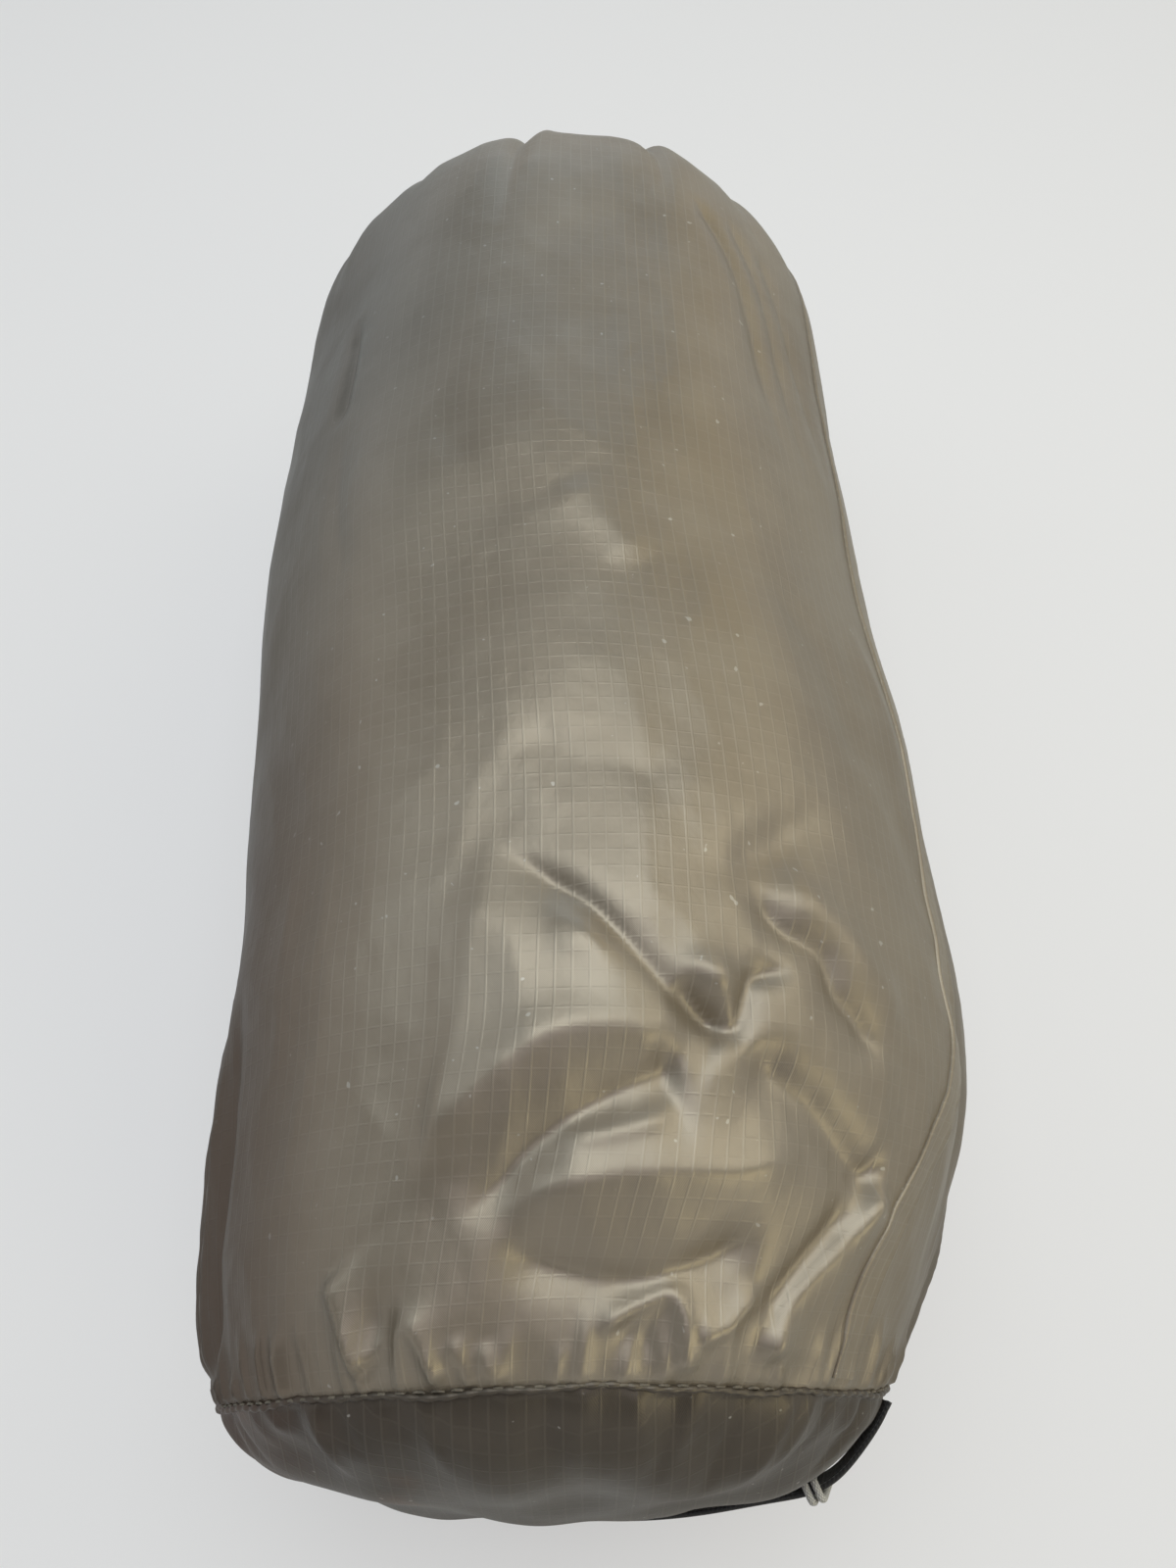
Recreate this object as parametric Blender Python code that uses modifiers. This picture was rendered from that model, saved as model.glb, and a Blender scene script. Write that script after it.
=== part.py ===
"""One-person tent, packed in its drawcord stuff sack and lying on its side.

Metres, +Z up, floor at z = 0. The sack lies along Y, with its round sewn base
towards -Y and its gathered mouth towards +Y. While the pieces are made, y = 0 is
the plane of the base seam; at the end the whole model is moved so that the middle
of its underside is the origin.
"""

import math

import bmesh
import bpy
import numpy as np
from mathutils import Matrix, Vector

# Fits
GAP = 0.0003                 # between pieces that touch
CLOTH = 0.0008               # cloth of the sack and the inner bags, with its coating

# Sack: a tube that narrows to its base and rounds in to its mouth
SACK_RADIUS = 0.0760
SACK_LENGTH = 0.3178         # from the base seam to the gathered mouth
AXIS_HEIGHT = 0.0700         # less than the radius, so that the full sack rests flat
SEAM_RADIUS = 0.0617
SEAM_AXIS_HEIGHT = 0.0645
TAPER_LENGTH = 0.0750        # from the base seam to the full radius
NARROWING_RUN = 0.0683       # over which the tube narrows again before its mouth
MOUTH_RADIUS = 0.0742
MOUTH_LENGTH = 0.0645
MOUTH_POWER = 2.8            # 2 would be an ellipse
NECK_RADIUS = 0.0070
SEAM_LEAN = -0.0061          # sideways sag of the sack's middle line, at the base,
MIDDLE_LEAN = 0.0010         # in the middle
MOUTH_LEAN = -0.0062         # and at the mouth
LEAN_RUN = 0.0550            # from the base's lean to the middle's
MOUTH_LEAN_START = 0.0780
MOUTH_LEAN_RUN = 0.1160
DOME_DEPTH = 0.0178
DOME_POWER = 1.75            # a little less full than an ellipse
SEAM_ROLL = 0.0013           # radius of the sewn roll between tube and base
SIDES = 70                   # around the sack
BASE_SIDES = 40              # around its base

# How far the base seam lies up the tube from its plane: at its top and at its right
SEAM_TOP_SHIFT = 0.0026
SEAM_TOP_ANGLE = math.radians(75)
SEAM_TOP_SPREAD = math.radians(50)
SEAM_SIDE_SHIFT = 0.0038
SEAM_SIDE_ANGLE = math.radians(2)
SEAM_SIDE_SPREAD = math.radians(26)
SEAM_SHIFT_RUN = 0.0140      # along the tube, over which the shift dies away
SEAM_SHIFT_POWER = 8         # how near to the base's edge the shift stays

# Main folds and hollows of the filled sack, as (degrees round it, metres along it) at
# both ends, height and width; a height below 0 is a hollow
MAIN_FOLDS = [((103.0, 0.0840), (72.5, 0.0530), -0.0022, 0.0045),
              ((103.5, 0.0840), (108.5, 0.0280), 0.0022, 0.0080),
              ((80.0, 0.0470), (108.0, 0.0315), -0.0030, 0.0060),
              ((99.0, 0.0228), (62.0, 0.0310), -0.0026, 0.0065),
              ((70.8, 0.0518), (47.0, 0.0330), -0.0022, 0.0050),
              ((47.0, 0.0330), (59.5, 0.0040), 0.0020, 0.0045),
              ((70.3, 0.0785), (50.0, 0.0510), -0.0018, 0.0042),
              ((121.0, 0.0190), (115.0, 0.0040), 0.0016, 0.0040)]
FOLD_ROOM = 0.0030           # that the deepest hollow takes from the room inside
FOLDS_END = 0.0950
FOLDS_FADE = 0.0200
FOLDS_FROM_SEAM = 0.0080     # over which they rise from the base seam
SEAM_MARGIN = math.radians(4)  # flat cloth beside the side seam
SEAM_MARGIN_FADE = math.radians(6)

# Pleats of the gathered mouth
PLEATS = 14
PLEAT_CREST = math.radians(111.4)  # where round the sack one of them stands highest
PLEAT_DEPTH = 0.0034
PLEAT_RUN = 0.0400           # how far the pleats run down the tube

# Felled seam along the tube, which turns up a little towards the base
SIDE_SEAM_ANGLE = math.radians(27)
SIDE_SEAM_TURN = math.radians(15.5)
SIDE_SEAM_TURN_START = 0.0180
SIDE_SEAM_TURN_RUN = 0.0480
SIDE_SEAM_WIDTH = 0.0075
SIDE_SEAM_START = 0.0065

# Hem with the drawcord's channel
HEM_RADIUS = 0.0085
HEM_THICKNESS = 0.0100
HEM_LOBE = 0.14              # share by which the gathers swell the hem

# Drawcord
CORD_DIAMETER = 0.0025
STRAND_SPACING = 0.0031
KNOT_TRAVEL = 0.0080         # free cord between the lock and the knot
KNOT_RADIUS = 0.0034
KNOT_WAVE = 0.0017

# Cord lock, its plunger along Z and the cord's two strands through it along Y
LOCK_RADIUS = 0.0070
LOCK_WALL = 0.0018
LOCK_FLOOR = 0.0015
LOCK_TRAVEL = 0.0040
LOCK_RIM = 0.0014            # barrel above the plunger's slot
PLUNGER_FOOT = 0.0017        # plunger under its slot
BUTTON_RADIUS = 0.0064
BUTTON_HEIGHT = 0.0022
SPRING_SPACE = 0.0070
SPRING_WIRE = 0.0005
SPRING_TURNS = 4.5
LOCK_FILLET = 0.0008

# Grab handle: webbing across the base, a little to one side of the middle
WEBBING_WIDTH = 0.0150
WEBBING_THICKNESS = 0.0014
HANDLE_TILT = math.radians(30.5)
HANDLE_OFFSET = 0.0235       # from the base's centre to the strap's middle line
HANDLE_GAP = 0.0005
HANDLE_SLACK = 0.0016        # how far the strap bulges where the cord is hitched
HANDLE_START = math.radians(8)
BULGE_PLACE = math.radians(40)
BULGE_SPREAD = math.radians(12)
HITCH_PLACE = math.radians(43)
HITCH_CORD = 0.0012
HITCH_PITCH = 0.0019
HITCH_TURNS = 2
HITCH_POWER = 8.0            # how closely the hitch follows the strap's corners

# Rolled tent cloth
ROLL_TURNS = 3
ROLL_FILL = 0.88             # share of a turn's pitch that is cloth
ROLL_CLEARANCE = 0.0005
INNER_ROLL_RADIUS = 0.0500
INNER_ROLL_FLATNESS = 0.95   # of its lower half
INNER_ROLL_START = -0.0020
INNER_ROLL_INTO_MOUTH = 0.0327
FLY_START = 0.0060
FLY_INTO_MOUTH = 0.0267

# Inner bags, side by side along the middle of the roll
CORE_X = -0.0035
CORE_SLACK = 0.0006
CORE_POWER = 6.0
BAG_SIDES = 28
POLE_BAG_START = -0.0105
POLE_BAG_END_ROOM = 0.0148   # from its end to the sack's
POLE_BAG_POWER = 5.0
STAKE_BAG_START = -0.0090
STAKE_BAG_END_ROOM = 0.0218
STAKE_BAG_POWER = 4.0
BAG_EASE = 0.0012            # room between the poles and their bag

# Folding poles
SECTION_START = 0.0150
SECTION_END_ROOM = 0.0408    # from the sections' ends to the sack's
TUBE_DIAMETER = 0.0087
TUBE_WALL = 0.0006
TUBE_SPACING = 0.0004
FERRULE_LENGTH = 0.0160
FERRULE_GRIP = 0.0200
FERRULE_WALL = 0.0006
FERRULE_PLAY = 0.0001
TUBE_SIDES = 10
SHOCK_CORD_DIAMETER = 0.0024
CORD_LEAD = 0.0020           # cord that runs straight before it turns
HUB_THICKNESS = 0.0090
HUB_MARGIN = 0.0004
HUB_WRAP = math.radians(125)  # how far each lobe of the hub goes round its tube
SPIGOT_LENGTH = 0.0140
TIP_SHOULDER = 0.0030
TIP_NECK = 0.0020
TIP_BALL = 0.0032

# Stakes, with a three-finned section
STAKE_LENGTH = 0.1600
STAKE_FIN = 0.0055
STAKE_PLATE = 0.0014
STAKE_POINT = 0.0200
STAKE_NOTCH = 0.0085         # from the head to the guy line's notch
STAKE_NOTCH_SIZE = 0.6
STAKE_PITCH = 0.0064
STAKE_ROW = 0.0059
STAKES_IN_ROW = 4
STAKE_START = 0.0
STAKE_BAG_HALF_WIDTH = 0.0174
STAKE_BAG_HALF_HEIGHT = 0.0122

# Small parts kept in the stake bag
GUY_LINE_DIAMETER = 0.0022
HANK_LENGTH = 0.0860
HANK_THICKNESS = 0.0090
HANK_LOOPS = 8
HANK_PITCH = 0.0028
HANK_LIFT = 0.0010
SLEEVE_LENGTH = 0.0760
SLEEVE_DIAMETER = 0.0104
SLEEVE_WALL = 0.0007
SLEEVE_X = -0.0068
TENSIONER_LENGTH = 0.0300
TENSIONER_WIDTH = 0.0110
TENSIONER_THICKNESS = 0.0030
TENSIONER_HOLE = 0.0015
TENSIONER_X = 0.0068
TENSIONER_STEP = 0.0340

STAKE_TO_HANK = 0.0100

# Grid of the folded poles: each pole's sections in the order of the shock cord, as
# (place along the row, row), in tube spacings
LEFT_LEG = [(-0.5, 2), (-1.5, 2), (-1.0, 3), (0.0, 3)]
RIGHT_LEG = [(0.5, 2), (1.0, 3), (1.5, 2), (1.0, 1)]
SPINE = [(0.0, 1), (-1.0, 1), (-1.5, 0), (-0.5, 0), (0.5, 0), (1.5, 0)]
POLE_ROWS = 4
POLE_ROW_WIDTH = 3           # spacings from the first to the last tube of a full row

# Sizes that follow from those above
CORD_RADIUS = CORD_DIAMETER / 2
TUBE_RADIUS = TUBE_DIAMETER / 2
TUBE_PITCH = TUBE_DIAMETER + TUBE_SPACING
ROW_PITCH = TUBE_PITCH * math.sqrt(3) / 2
BORE_RADIUS = TUBE_RADIUS - TUBE_WALL
FERRULE_RADIUS = BORE_RADIUS - FERRULE_PLAY
CAP_START = SACK_LENGTH - MOUTH_LENGTH
SECTION_END = SACK_LENGTH - SECTION_END_ROOM
INNER_ROLL_END = CAP_START + INNER_ROLL_INTO_MOUTH
FLY_END = CAP_START + FLY_INTO_MOUTH
POLE_BAG_END = SACK_LENGTH - POLE_BAG_END_ROOM
STAKE_BAG_END = SACK_LENGTH - STAKE_BAG_END_ROOM
HANK_START = STAKE_START + STAKE_LENGTH + STAKE_TO_HANK
POLE_BAG_HALF_WIDTH = TUBE_PITCH * POLE_ROW_WIDTH / 2 + TUBE_RADIUS + BAG_EASE
POLE_BAG_HALF_HEIGHT = ROW_PITCH * (POLE_ROWS - 1) / 2 + TUBE_RADIUS + BAG_EASE
POLE_BAG_OUTER = (POLE_BAG_HALF_WIDTH + CLOTH, POLE_BAG_HALF_HEIGHT + CLOTH)
STAKE_BAG_OUTER = (STAKE_BAG_HALF_WIDTH + CLOTH, STAKE_BAG_HALF_HEIGHT + CLOTH)
STACK_HALF_HEIGHT = POLE_BAG_OUTER[1] + STAKE_BAG_OUTER[1] + GAP / 2
CORE_HALF_WIDTH = POLE_BAG_OUTER[0] + CORE_SLACK
CORE_HALF_HEIGHT = STACK_HALF_HEIGHT + CORE_SLACK
POLE_BAG_Z = AXIS_HEIGHT + STACK_HALF_HEIGHT - POLE_BAG_OUTER[1]
STAKE_BAG_Z = AXIS_HEIGHT - STACK_HALF_HEIGHT + STAKE_BAG_OUTER[1]
HEM_HALF = HEM_THICKNESS / 2 * (1 + HEM_LOBE)
HEM_Y = SACK_LENGTH + HEM_HALF + GAP
STRAND_Z = AXIS_HEIGHT - HEM_RADIUS
LOCK_Y = HEM_Y + HEM_HALF + GAP + LOCK_RADIUS
KNOT_DEPTH = KNOT_WAVE + CORD_RADIUS
KNOT_Y = LOCK_Y + LOCK_RADIUS + KNOT_TRAVEL + GAP + KNOT_DEPTH
SLOT_CLEARANCE = CORD_RADIUS + GAP

# Places along the sack where its rings, its side seam's and the fly's lie
PLEATS_START = CAP_START - PLEAT_RUN
TAPER_STEPS = 10
MIDDLE_SHARES = (0.49, 0.75, 1.0)
TUBE_STATIONS = ([FOLDS_END * step / TAPER_STEPS for step in range(1, TAPER_STEPS)]
                 + [PLEATS_START * share for share in MIDDLE_SHARES])


def clean_scene():
    """Remove what the file holds, so that the script can run again."""
    for item in list(bpy.data.objects):
        bpy.data.objects.remove(item, do_unlink=True)
    for group in list(bpy.data.collections):
        bpy.data.collections.remove(group)


def make_material(name, colour, roughness, metallic=0.0):
    """A plain Principled material."""
    material = bpy.data.materials.new(name)
    material.use_nodes = True
    shader = material.node_tree.nodes["Principled BSDF"]
    shader.inputs["Base Color"].default_value = (*colour, 1.0)
    shader.inputs["Roughness"].default_value = roughness
    shader.inputs["Metallic"].default_value = metallic
    material.diffuse_color = (*colour, 1.0)
    return material


def add_object(name, data, material, location=(0, 0, 0), rotation=(0, 0, 0)):
    """Link a mesh or curve as a named part under the model's root."""
    item = bpy.data.objects.new(name, data)
    item.location = location
    item.rotation_euler = rotation
    item.parent = ROOT
    data.materials.append(material)
    PARTS.objects.link(item)
    return item


def smooth(item, angle=40):
    """Shade a mesh smooth, with sharp edges above the angle in degrees."""
    item.data.shade_smooth()
    item.data.set_sharp_from_angle(angle=math.radians(angle))


def ease(value):
    """0 to 1 with level ends."""
    value = min(max(value, 0.0), 1.0)
    return value * value * (3 - 2 * value)


def bell(value):
    """1 at 0, falling smoothly on both sides."""
    return math.exp(-value * value)


def turned_apart(first, second):
    """The signed angle from the second to the first, at most half a turn."""
    return (first - second + math.pi) % math.tau - math.pi


def power_cosine(angle, power):
    """The cosine of a superellipse."""
    value = math.cos(angle)
    return math.copysign(abs(value) ** (2 / power), value)


def power_sine(angle, power):
    """The sine of a superellipse."""
    value = math.sin(angle)
    return math.copysign(abs(value) ** (2 / power), value)


def oval(angle, half_width, half_height, power):
    """A point of a superellipse, as (x, z)."""
    return (half_width * power_cosine(angle, power), half_height * power_sine(angle, power))


def bezier(start, start_pull, end_pull, end, count):
    """Points along a cubic curve, without its last one."""
    points = []
    for step in range(count):
        t = step / count
        s = 1 - t
        points.append(s ** 3 * start + 3 * s * s * t * start_pull
                      + 3 * s * t * t * end_pull + t ** 3 * end)
    return points


# Shape of the sack

def sack_lean(y):
    """Sideways place of the sack's middle line."""
    lean = SEAM_LEAN + (MIDDLE_LEAN - SEAM_LEAN) * ease(y / LEAN_RUN)
    return lean + (MOUTH_LEAN - MIDDLE_LEAN) * ease((y - MOUTH_LEAN_START) / MOUTH_LEAN_RUN)


def sack_ring(y):
    """Radius and axis height of the tube at a place along it."""
    taper = max(0.0, 1 - y / TAPER_LENGTH) ** 2
    narrowing = ease((y - CAP_START + NARROWING_RUN) / NARROWING_RUN)
    radius = SACK_RADIUS - (SACK_RADIUS - SEAM_RADIUS) * taper - (SACK_RADIUS - MOUTH_RADIUS) * narrowing
    height = AXIS_HEIGHT - (AXIS_HEIGHT - SEAM_AXIS_HEIGHT) * taper
    if y > CAP_START:
        along = (y - CAP_START) / MOUTH_LENGTH
        radius = MOUTH_RADIUS * (1 - along ** MOUTH_POWER) ** (1 / MOUTH_POWER)
    return radius, height


def seam_shift(angle):
    """How far up the tube the base seam lies, round the sack."""
    top = SEAM_TOP_SHIFT * bell(turned_apart(angle, SEAM_TOP_ANGLE) / SEAM_TOP_SPREAD)
    side = SEAM_SIDE_SHIFT * bell(turned_apart(angle, SEAM_SIDE_ANGLE) / SEAM_SIDE_SPREAD)
    return top + side


def base_shift(x, z):
    """The same for a place on the base, most at its edge."""
    across = x - SEAM_LEAN
    up = z - SEAM_AXIS_HEIGHT
    share = min(1.0, math.hypot(across, up) / SEAM_RADIUS)
    return seam_shift(math.atan2(up, across)) * share ** SEAM_SHIFT_POWER


def dome_rise(radius):
    """How far the base stands out at a radius from its middle."""
    share = min(1.0, radius / SEAM_RADIUS)
    return DOME_DEPTH * (1 - share ** DOME_POWER) ** (1 / DOME_POWER)


def tube_shift(y, angle):
    """The same for a place along the tube, most at its seam."""
    beyond_roll = max(0.0, y - SEAM_ROLL - GAP)
    return seam_shift(angle) * math.exp(-beyond_roll / SEAM_SHIFT_RUN)


def side_seam_angle(y):
    """Where round the tube the felled seam lies."""
    return SIDE_SEAM_ANGLE + SIDE_SEAM_TURN * (1 - ease((y - SIDE_SEAM_TURN_START) / SIDE_SEAM_TURN_RUN))


def fold_height(y, angle):
    """How far the main folds raise the cloth, none beside the side seam."""
    total = 0.0
    place = Vector((angle % math.tau * SACK_RADIUS, y))
    for first, second, height, width in MAIN_FOLDS:
        start = Vector((math.radians(first[0]) * SACK_RADIUS, first[1]))
        run = Vector((math.radians(second[0]) * SACK_RADIUS, second[1])) - start
        share = min(1.0, max(0.0, (place - start).dot(run) / run.length_squared))
        gap = (place - start - run * share).length
        total += height * bell(gap / width)
    apart = abs(turned_apart(angle, side_seam_angle(y)))
    return total * ease(y / FOLDS_FROM_SEAM) * ease((apart - SEAM_MARGIN) / SEAM_MARGIN_FADE)


def pleat_strength(y):
    """0 on the plain tube, 1 on the gathered mouth."""
    return ease((y - CAP_START + PLEAT_RUN) / (PLEAT_RUN + MOUTH_LENGTH / 2))


def sack_point(y, radius, height, angle, normal):
    """A point of the sack's outer face; pleats sink it against the normal (radial, along)."""
    pleat = 0.5 - 0.5 * math.cos(PLEATS * (angle - PLEAT_CREST))
    sink = PLEAT_DEPTH * pleat_strength(y) * pleat - fold_height(y, angle)
    radius = radius - sink * normal[0]
    x = sack_lean(y) + radius * math.cos(angle)
    z = max(0.0, height + radius * math.sin(angle))
    return Vector((x, y + tube_shift(y, angle) - sink * normal[1], z))


def sack_rows():
    """Rings of the tube from the base seam to the neck, as (y, radius, height, normal)."""
    rows = []
    for y in [SEAM_ROLL + GAP] + TUBE_STATIONS + [CAP_START]:
        radius, height = sack_ring(y)
        rows.append((y, radius, height, (1.0, 0.0)))
    last = math.acos((NECK_RADIUS / MOUTH_RADIUS) ** (MOUTH_POWER / 2))
    count = 5
    for step in range(1, count + 1):
        turn = last * step / count
        y = CAP_START + MOUTH_LENGTH * power_sine(turn, MOUTH_POWER)
        radius = MOUTH_RADIUS * power_cosine(turn, MOUTH_POWER)
        across = (radius / MOUTH_RADIUS) ** (MOUTH_POWER - 1) / MOUTH_RADIUS
        along = ((y - CAP_START) / MOUTH_LENGTH) ** (MOUTH_POWER - 1) / MOUTH_LENGTH
        size = math.hypot(across, along)
        rows.append((y, radius, AXIS_HEIGHT, (across / size, along / size)))
    return rows


def room_point(y, angle, clearance):
    """A point inside the sack's wall, clear of its pleats, as (x, z)."""
    radius, height = sack_ring(y)
    folds = FOLD_ROOM * (1 - ease((y - FOLDS_END) / FOLDS_FADE))
    radius -= CLOTH + PLEAT_DEPTH * pleat_strength(y) + folds + clearance
    floor = CLOTH + clearance
    x = sack_lean(y) + radius * math.cos(angle)
    z = height + radius * math.sin(angle)
    if z < height:
        z = height - (height - z) * min(1.0, (height - floor) / radius)
    return x, z


# Builders

def grid_mesh(name, rows, wrap=True):
    """An open surface through rows of points."""
    mesh = bpy.data.meshes.new(name)
    bm = bmesh.new()
    grid = [[bm.verts.new(point) for point in row] for row in rows]
    count = len(rows[0])
    for lower, upper in zip(grid, grid[1:]):
        for i in range(count if wrap else count - 1):
            j = (i + 1) % count
            bm.faces.new((lower[i], lower[j], upper[j], upper[i]))
    bmesh.ops.recalc_face_normals(bm, faces=bm.faces)
    bm.to_mesh(mesh)
    bm.free()
    return mesh


def thicken(item, thickness, inwards=True):
    """Give an open surface its thickness."""
    solid = item.modifiers.new("thickness", "SOLIDIFY")
    solid.thickness = thickness
    solid.offset = -1 if inwards else 1
    solid.use_rim = True
    return solid


def turned(name, profile, material, location, sides=TUBE_SIDES):
    """A piece turned about a line along Y; the profile is (radius, y), outer side first."""
    mesh = bpy.data.meshes.new(name)
    bm = bmesh.new()
    verts = [bm.verts.new((radius, 0, y)) for radius, y in profile]
    for first, second in zip(verts, verts[1:]):
        bm.edges.new((first, second))
    if profile[0][0] > 0:
        bm.edges.new((verts[-1], verts[0]))
    bm.to_mesh(mesh)
    bm.free()
    item = add_object(name, mesh, material, location, (-math.pi / 2, 0, 0))
    screw = item.modifiers.new("turn", "SCREW")
    screw.axis = "Z"
    screw.angle = math.tau
    screw.steps = sides
    screw.render_steps = sides
    screw.use_merge_vertices = True
    screw.merge_threshold = 0.00001
    return item


def cord(name, points, diameter, material, resolution=1, cyclic=False):
    """A round cord through its points."""
    curve = bpy.data.curves.new(name, "CURVE")
    curve.dimensions = "3D"
    curve.bevel_depth = diameter / 2
    curve.bevel_resolution = resolution
    curve.use_fill_caps = not cyclic
    spline = curve.splines.new("POLY")
    spline.points.add(len(points) - 1)
    for target, point in zip(spline.points, points):
        target.co = (*point, 1.0)
    spline.use_cyclic_u = cyclic
    return add_object(name, curve, material)


def least_gap(points, diameter):
    """The least gap between a cord and itself, in millimetres, measured on close points."""
    spacing = diameter / 3
    skip = 12
    close = []
    for here, after in zip(points, points[1:]):
        count = math.ceil((after - here).length / spacing)
        close.extend(here.lerp(after, step / count) for step in range(count))
    places = np.array(close)
    distance = np.linalg.norm(places[:, None] - places[None, :], axis=2)
    number = np.arange(len(places))
    apart = np.abs(number[:, None] - number[None, :]) > skip
    return 1000 * (distance[apart].min() - diameter)


def as_mesh(item):
    """Replace a curve object with the welded mesh of its tube."""
    bpy.context.view_layer.update()
    graph = bpy.context.evaluated_depsgraph_get()
    mesh = bpy.data.meshes.new_from_object(item.evaluated_get(graph))
    bm = bmesh.new()
    bm.from_mesh(mesh)
    bmesh.ops.remove_doubles(bm, verts=bm.verts, dist=0.00001)
    bm.to_mesh(mesh)
    bm.free()
    name = item.name
    matrix = item.matrix_world.copy()
    bpy.data.objects.remove(item, do_unlink=True)
    result = bpy.data.objects.new(name, mesh)
    result.matrix_world = matrix
    PARTS.objects.link(result)
    return result


def box(name, size, location, fillet=0.0):
    """A box with rounded edges, as a loose object."""
    mesh = bpy.data.meshes.new(name)
    bm = bmesh.new()
    bmesh.ops.create_cube(bm, size=1.0, matrix=Matrix.Diagonal((*size, 1.0)))
    if fillet:
        bmesh.ops.bevel(bm, geom=bm.edges, offset=fillet, segments=2, affect="EDGES", profile=0.5)
    bm.to_mesh(mesh)
    bm.free()
    item = bpy.data.objects.new(name, mesh)
    item.location = location
    return item


def cut(item, cutter):
    """Subtract a cutter, which moves to the cutters' collection."""
    for group in list(cutter.users_collection):
        group.objects.unlink(cutter)
    CUTTERS.objects.link(cutter)
    cutter.parent = ROOT
    cutter.hide_render = True
    cutter.display_type = "WIRE"
    boolean = item.modifiers.new("cut", "BOOLEAN")
    boolean.operation = "DIFFERENCE"
    boolean.object = cutter


# Sack

def make_sack_body():
    """The tube with its pleated, gathered mouth."""
    rows = []
    for y, radius, height, normal in sack_rows():
        ring = []
        for i in range(SIDES):
            angle = PLEAT_CREST + math.tau * i / SIDES
            ring.append(sack_point(y, radius, height, angle, normal))
        rows.append(ring)
    item = add_object("sack_body", grid_mesh("sack_body", rows), SACK_CLOTH)
    thicken(item, CLOTH)
    smooth(item, 60)


def make_sack_base():
    """The domed round base, whose edge meets the seam's roll."""
    steps = 5
    sides = BASE_SIDES
    edge = math.acos(((SEAM_ROLL + GAP) / DOME_DEPTH) ** (DOME_POWER / 2))
    mesh = bpy.data.meshes.new("sack_base")
    bm = bmesh.new()
    centre = bm.verts.new((SEAM_LEAN, -DOME_DEPTH, SEAM_AXIS_HEIGHT))
    rings = []
    for step in range(1, steps + 1):
        turn = edge * step / steps
        radius = SEAM_RADIUS * power_sine(turn, DOME_POWER)
        ring = []
        for i in range(sides):
            angle = math.tau * i / sides
            x = SEAM_LEAN + radius * math.cos(angle)
            z = SEAM_AXIS_HEIGHT + radius * math.sin(angle)
            ring.append(bm.verts.new((x, base_shift(x, z) - dome_rise(radius), z)))
        rings.append(ring)
    for i in range(sides):
        j = (i + 1) % sides
        bm.faces.new((centre, rings[0][i], rings[0][j]))
        for inner, outer in zip(rings, rings[1:]):
            bm.faces.new((inner[i], outer[i], outer[j], inner[j]))
    bmesh.ops.recalc_face_normals(bm, faces=bm.faces)
    if centre.normal.y > 0:
        bmesh.ops.reverse_faces(bm, faces=bm.faces)
    bm.to_mesh(mesh)
    bm.free()
    item = add_object("sack_base", mesh, BASE_CLOTH)
    thicken(item, CLOTH)
    smooth(item, 60)


def make_base_seam():
    """The sewn roll that joins tube and base."""
    sides = BASE_SIDES
    points = []
    for i in range(sides):
        angle = math.tau * i / sides
        points.append(Vector((SEAM_LEAN + SEAM_RADIUS * math.cos(angle), seam_shift(angle),
                              SEAM_AXIS_HEIGHT + SEAM_RADIUS * math.sin(angle))))
    cord("base_seam", points, 2 * SEAM_ROLL, SEAM_CLOTH, cyclic=True)


def make_side_seam():
    """The felled seam along the tube, lying on its outer face."""
    rows = []
    steps = 4
    for y in [SIDE_SEAM_START] + [y for y in TUBE_STATIONS if y > SIDE_SEAM_START + GAP]:
        radius, height = sack_ring(y)
        row = []
        for step in range(steps + 1):
            spread = SIDE_SEAM_WIDTH / radius * (step / steps - 0.5)
            angle = side_seam_angle(y) + spread
            lifted = radius + GAP
            row.append(Vector((sack_lean(y) + lifted * math.cos(angle), y + tube_shift(y, angle),
                               height + lifted * math.sin(angle))))
        rows.append(row)
    item = add_object("side_seam", grid_mesh("side_seam", rows, wrap=False), SEAM_CLOTH)
    outwards = item.data.polygons[0].normal.x > 0
    thicken(item, CLOTH, inwards=not outwards)


def drawcord_points():
    """From the knot through the lock, round the hem's channel and back."""
    centre = Vector((MOUTH_LEAN, HEM_Y, AXIS_HEIGHT))
    opening = math.radians(50)
    half = STRAND_SPACING / 2
    turns = []
    count = 22
    for step in range(count + 1):
        angle = -math.pi / 2 - opening - (math.tau - 2 * opening) * step / count
        turns.append(centre + HEM_RADIUS * Vector((math.cos(angle), 0, math.sin(angle))))
    straight = Vector((MOUTH_LEAN - half, HEM_Y + HEM_HALF + GAP, STRAND_Z))
    end = Vector((MOUTH_LEAN - half, KNOT_Y - KNOT_DEPTH - GAP, STRAND_Z))
    heading = (turns[0] - turns[1]).normalized()
    pull = 0.0042
    lead = bezier(straight, straight - Vector((0, pull, 0)), turns[0] + heading * pull,
                  turns[0], 6)
    first = [end] + lead
    mirror = [Vector((2 * MOUTH_LEAN - p.x, p.y, p.z)) for p in reversed(first)]
    return first + turns + mirror


def make_drawcord():
    """The cord in the hem's channel, with both ends through the lock to the knot."""
    cord("drawcord", drawcord_points(), CORD_DIAMETER, CORD_MATERIAL)
    points = []
    count = 30
    for step in range(count):
        t = math.tau * step / count
        reach = KNOT_RADIUS + KNOT_WAVE * math.cos(3 * t)
        points.append(Vector((MOUTH_LEAN + reach * math.cos(2 * t),
                              KNOT_Y + KNOT_WAVE * math.sin(3 * t),
                              STRAND_Z + reach * math.sin(2 * t))))
    cord("drawcord_knot", points, CORD_DIAMETER, CORD_MATERIAL, cyclic=True)


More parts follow.
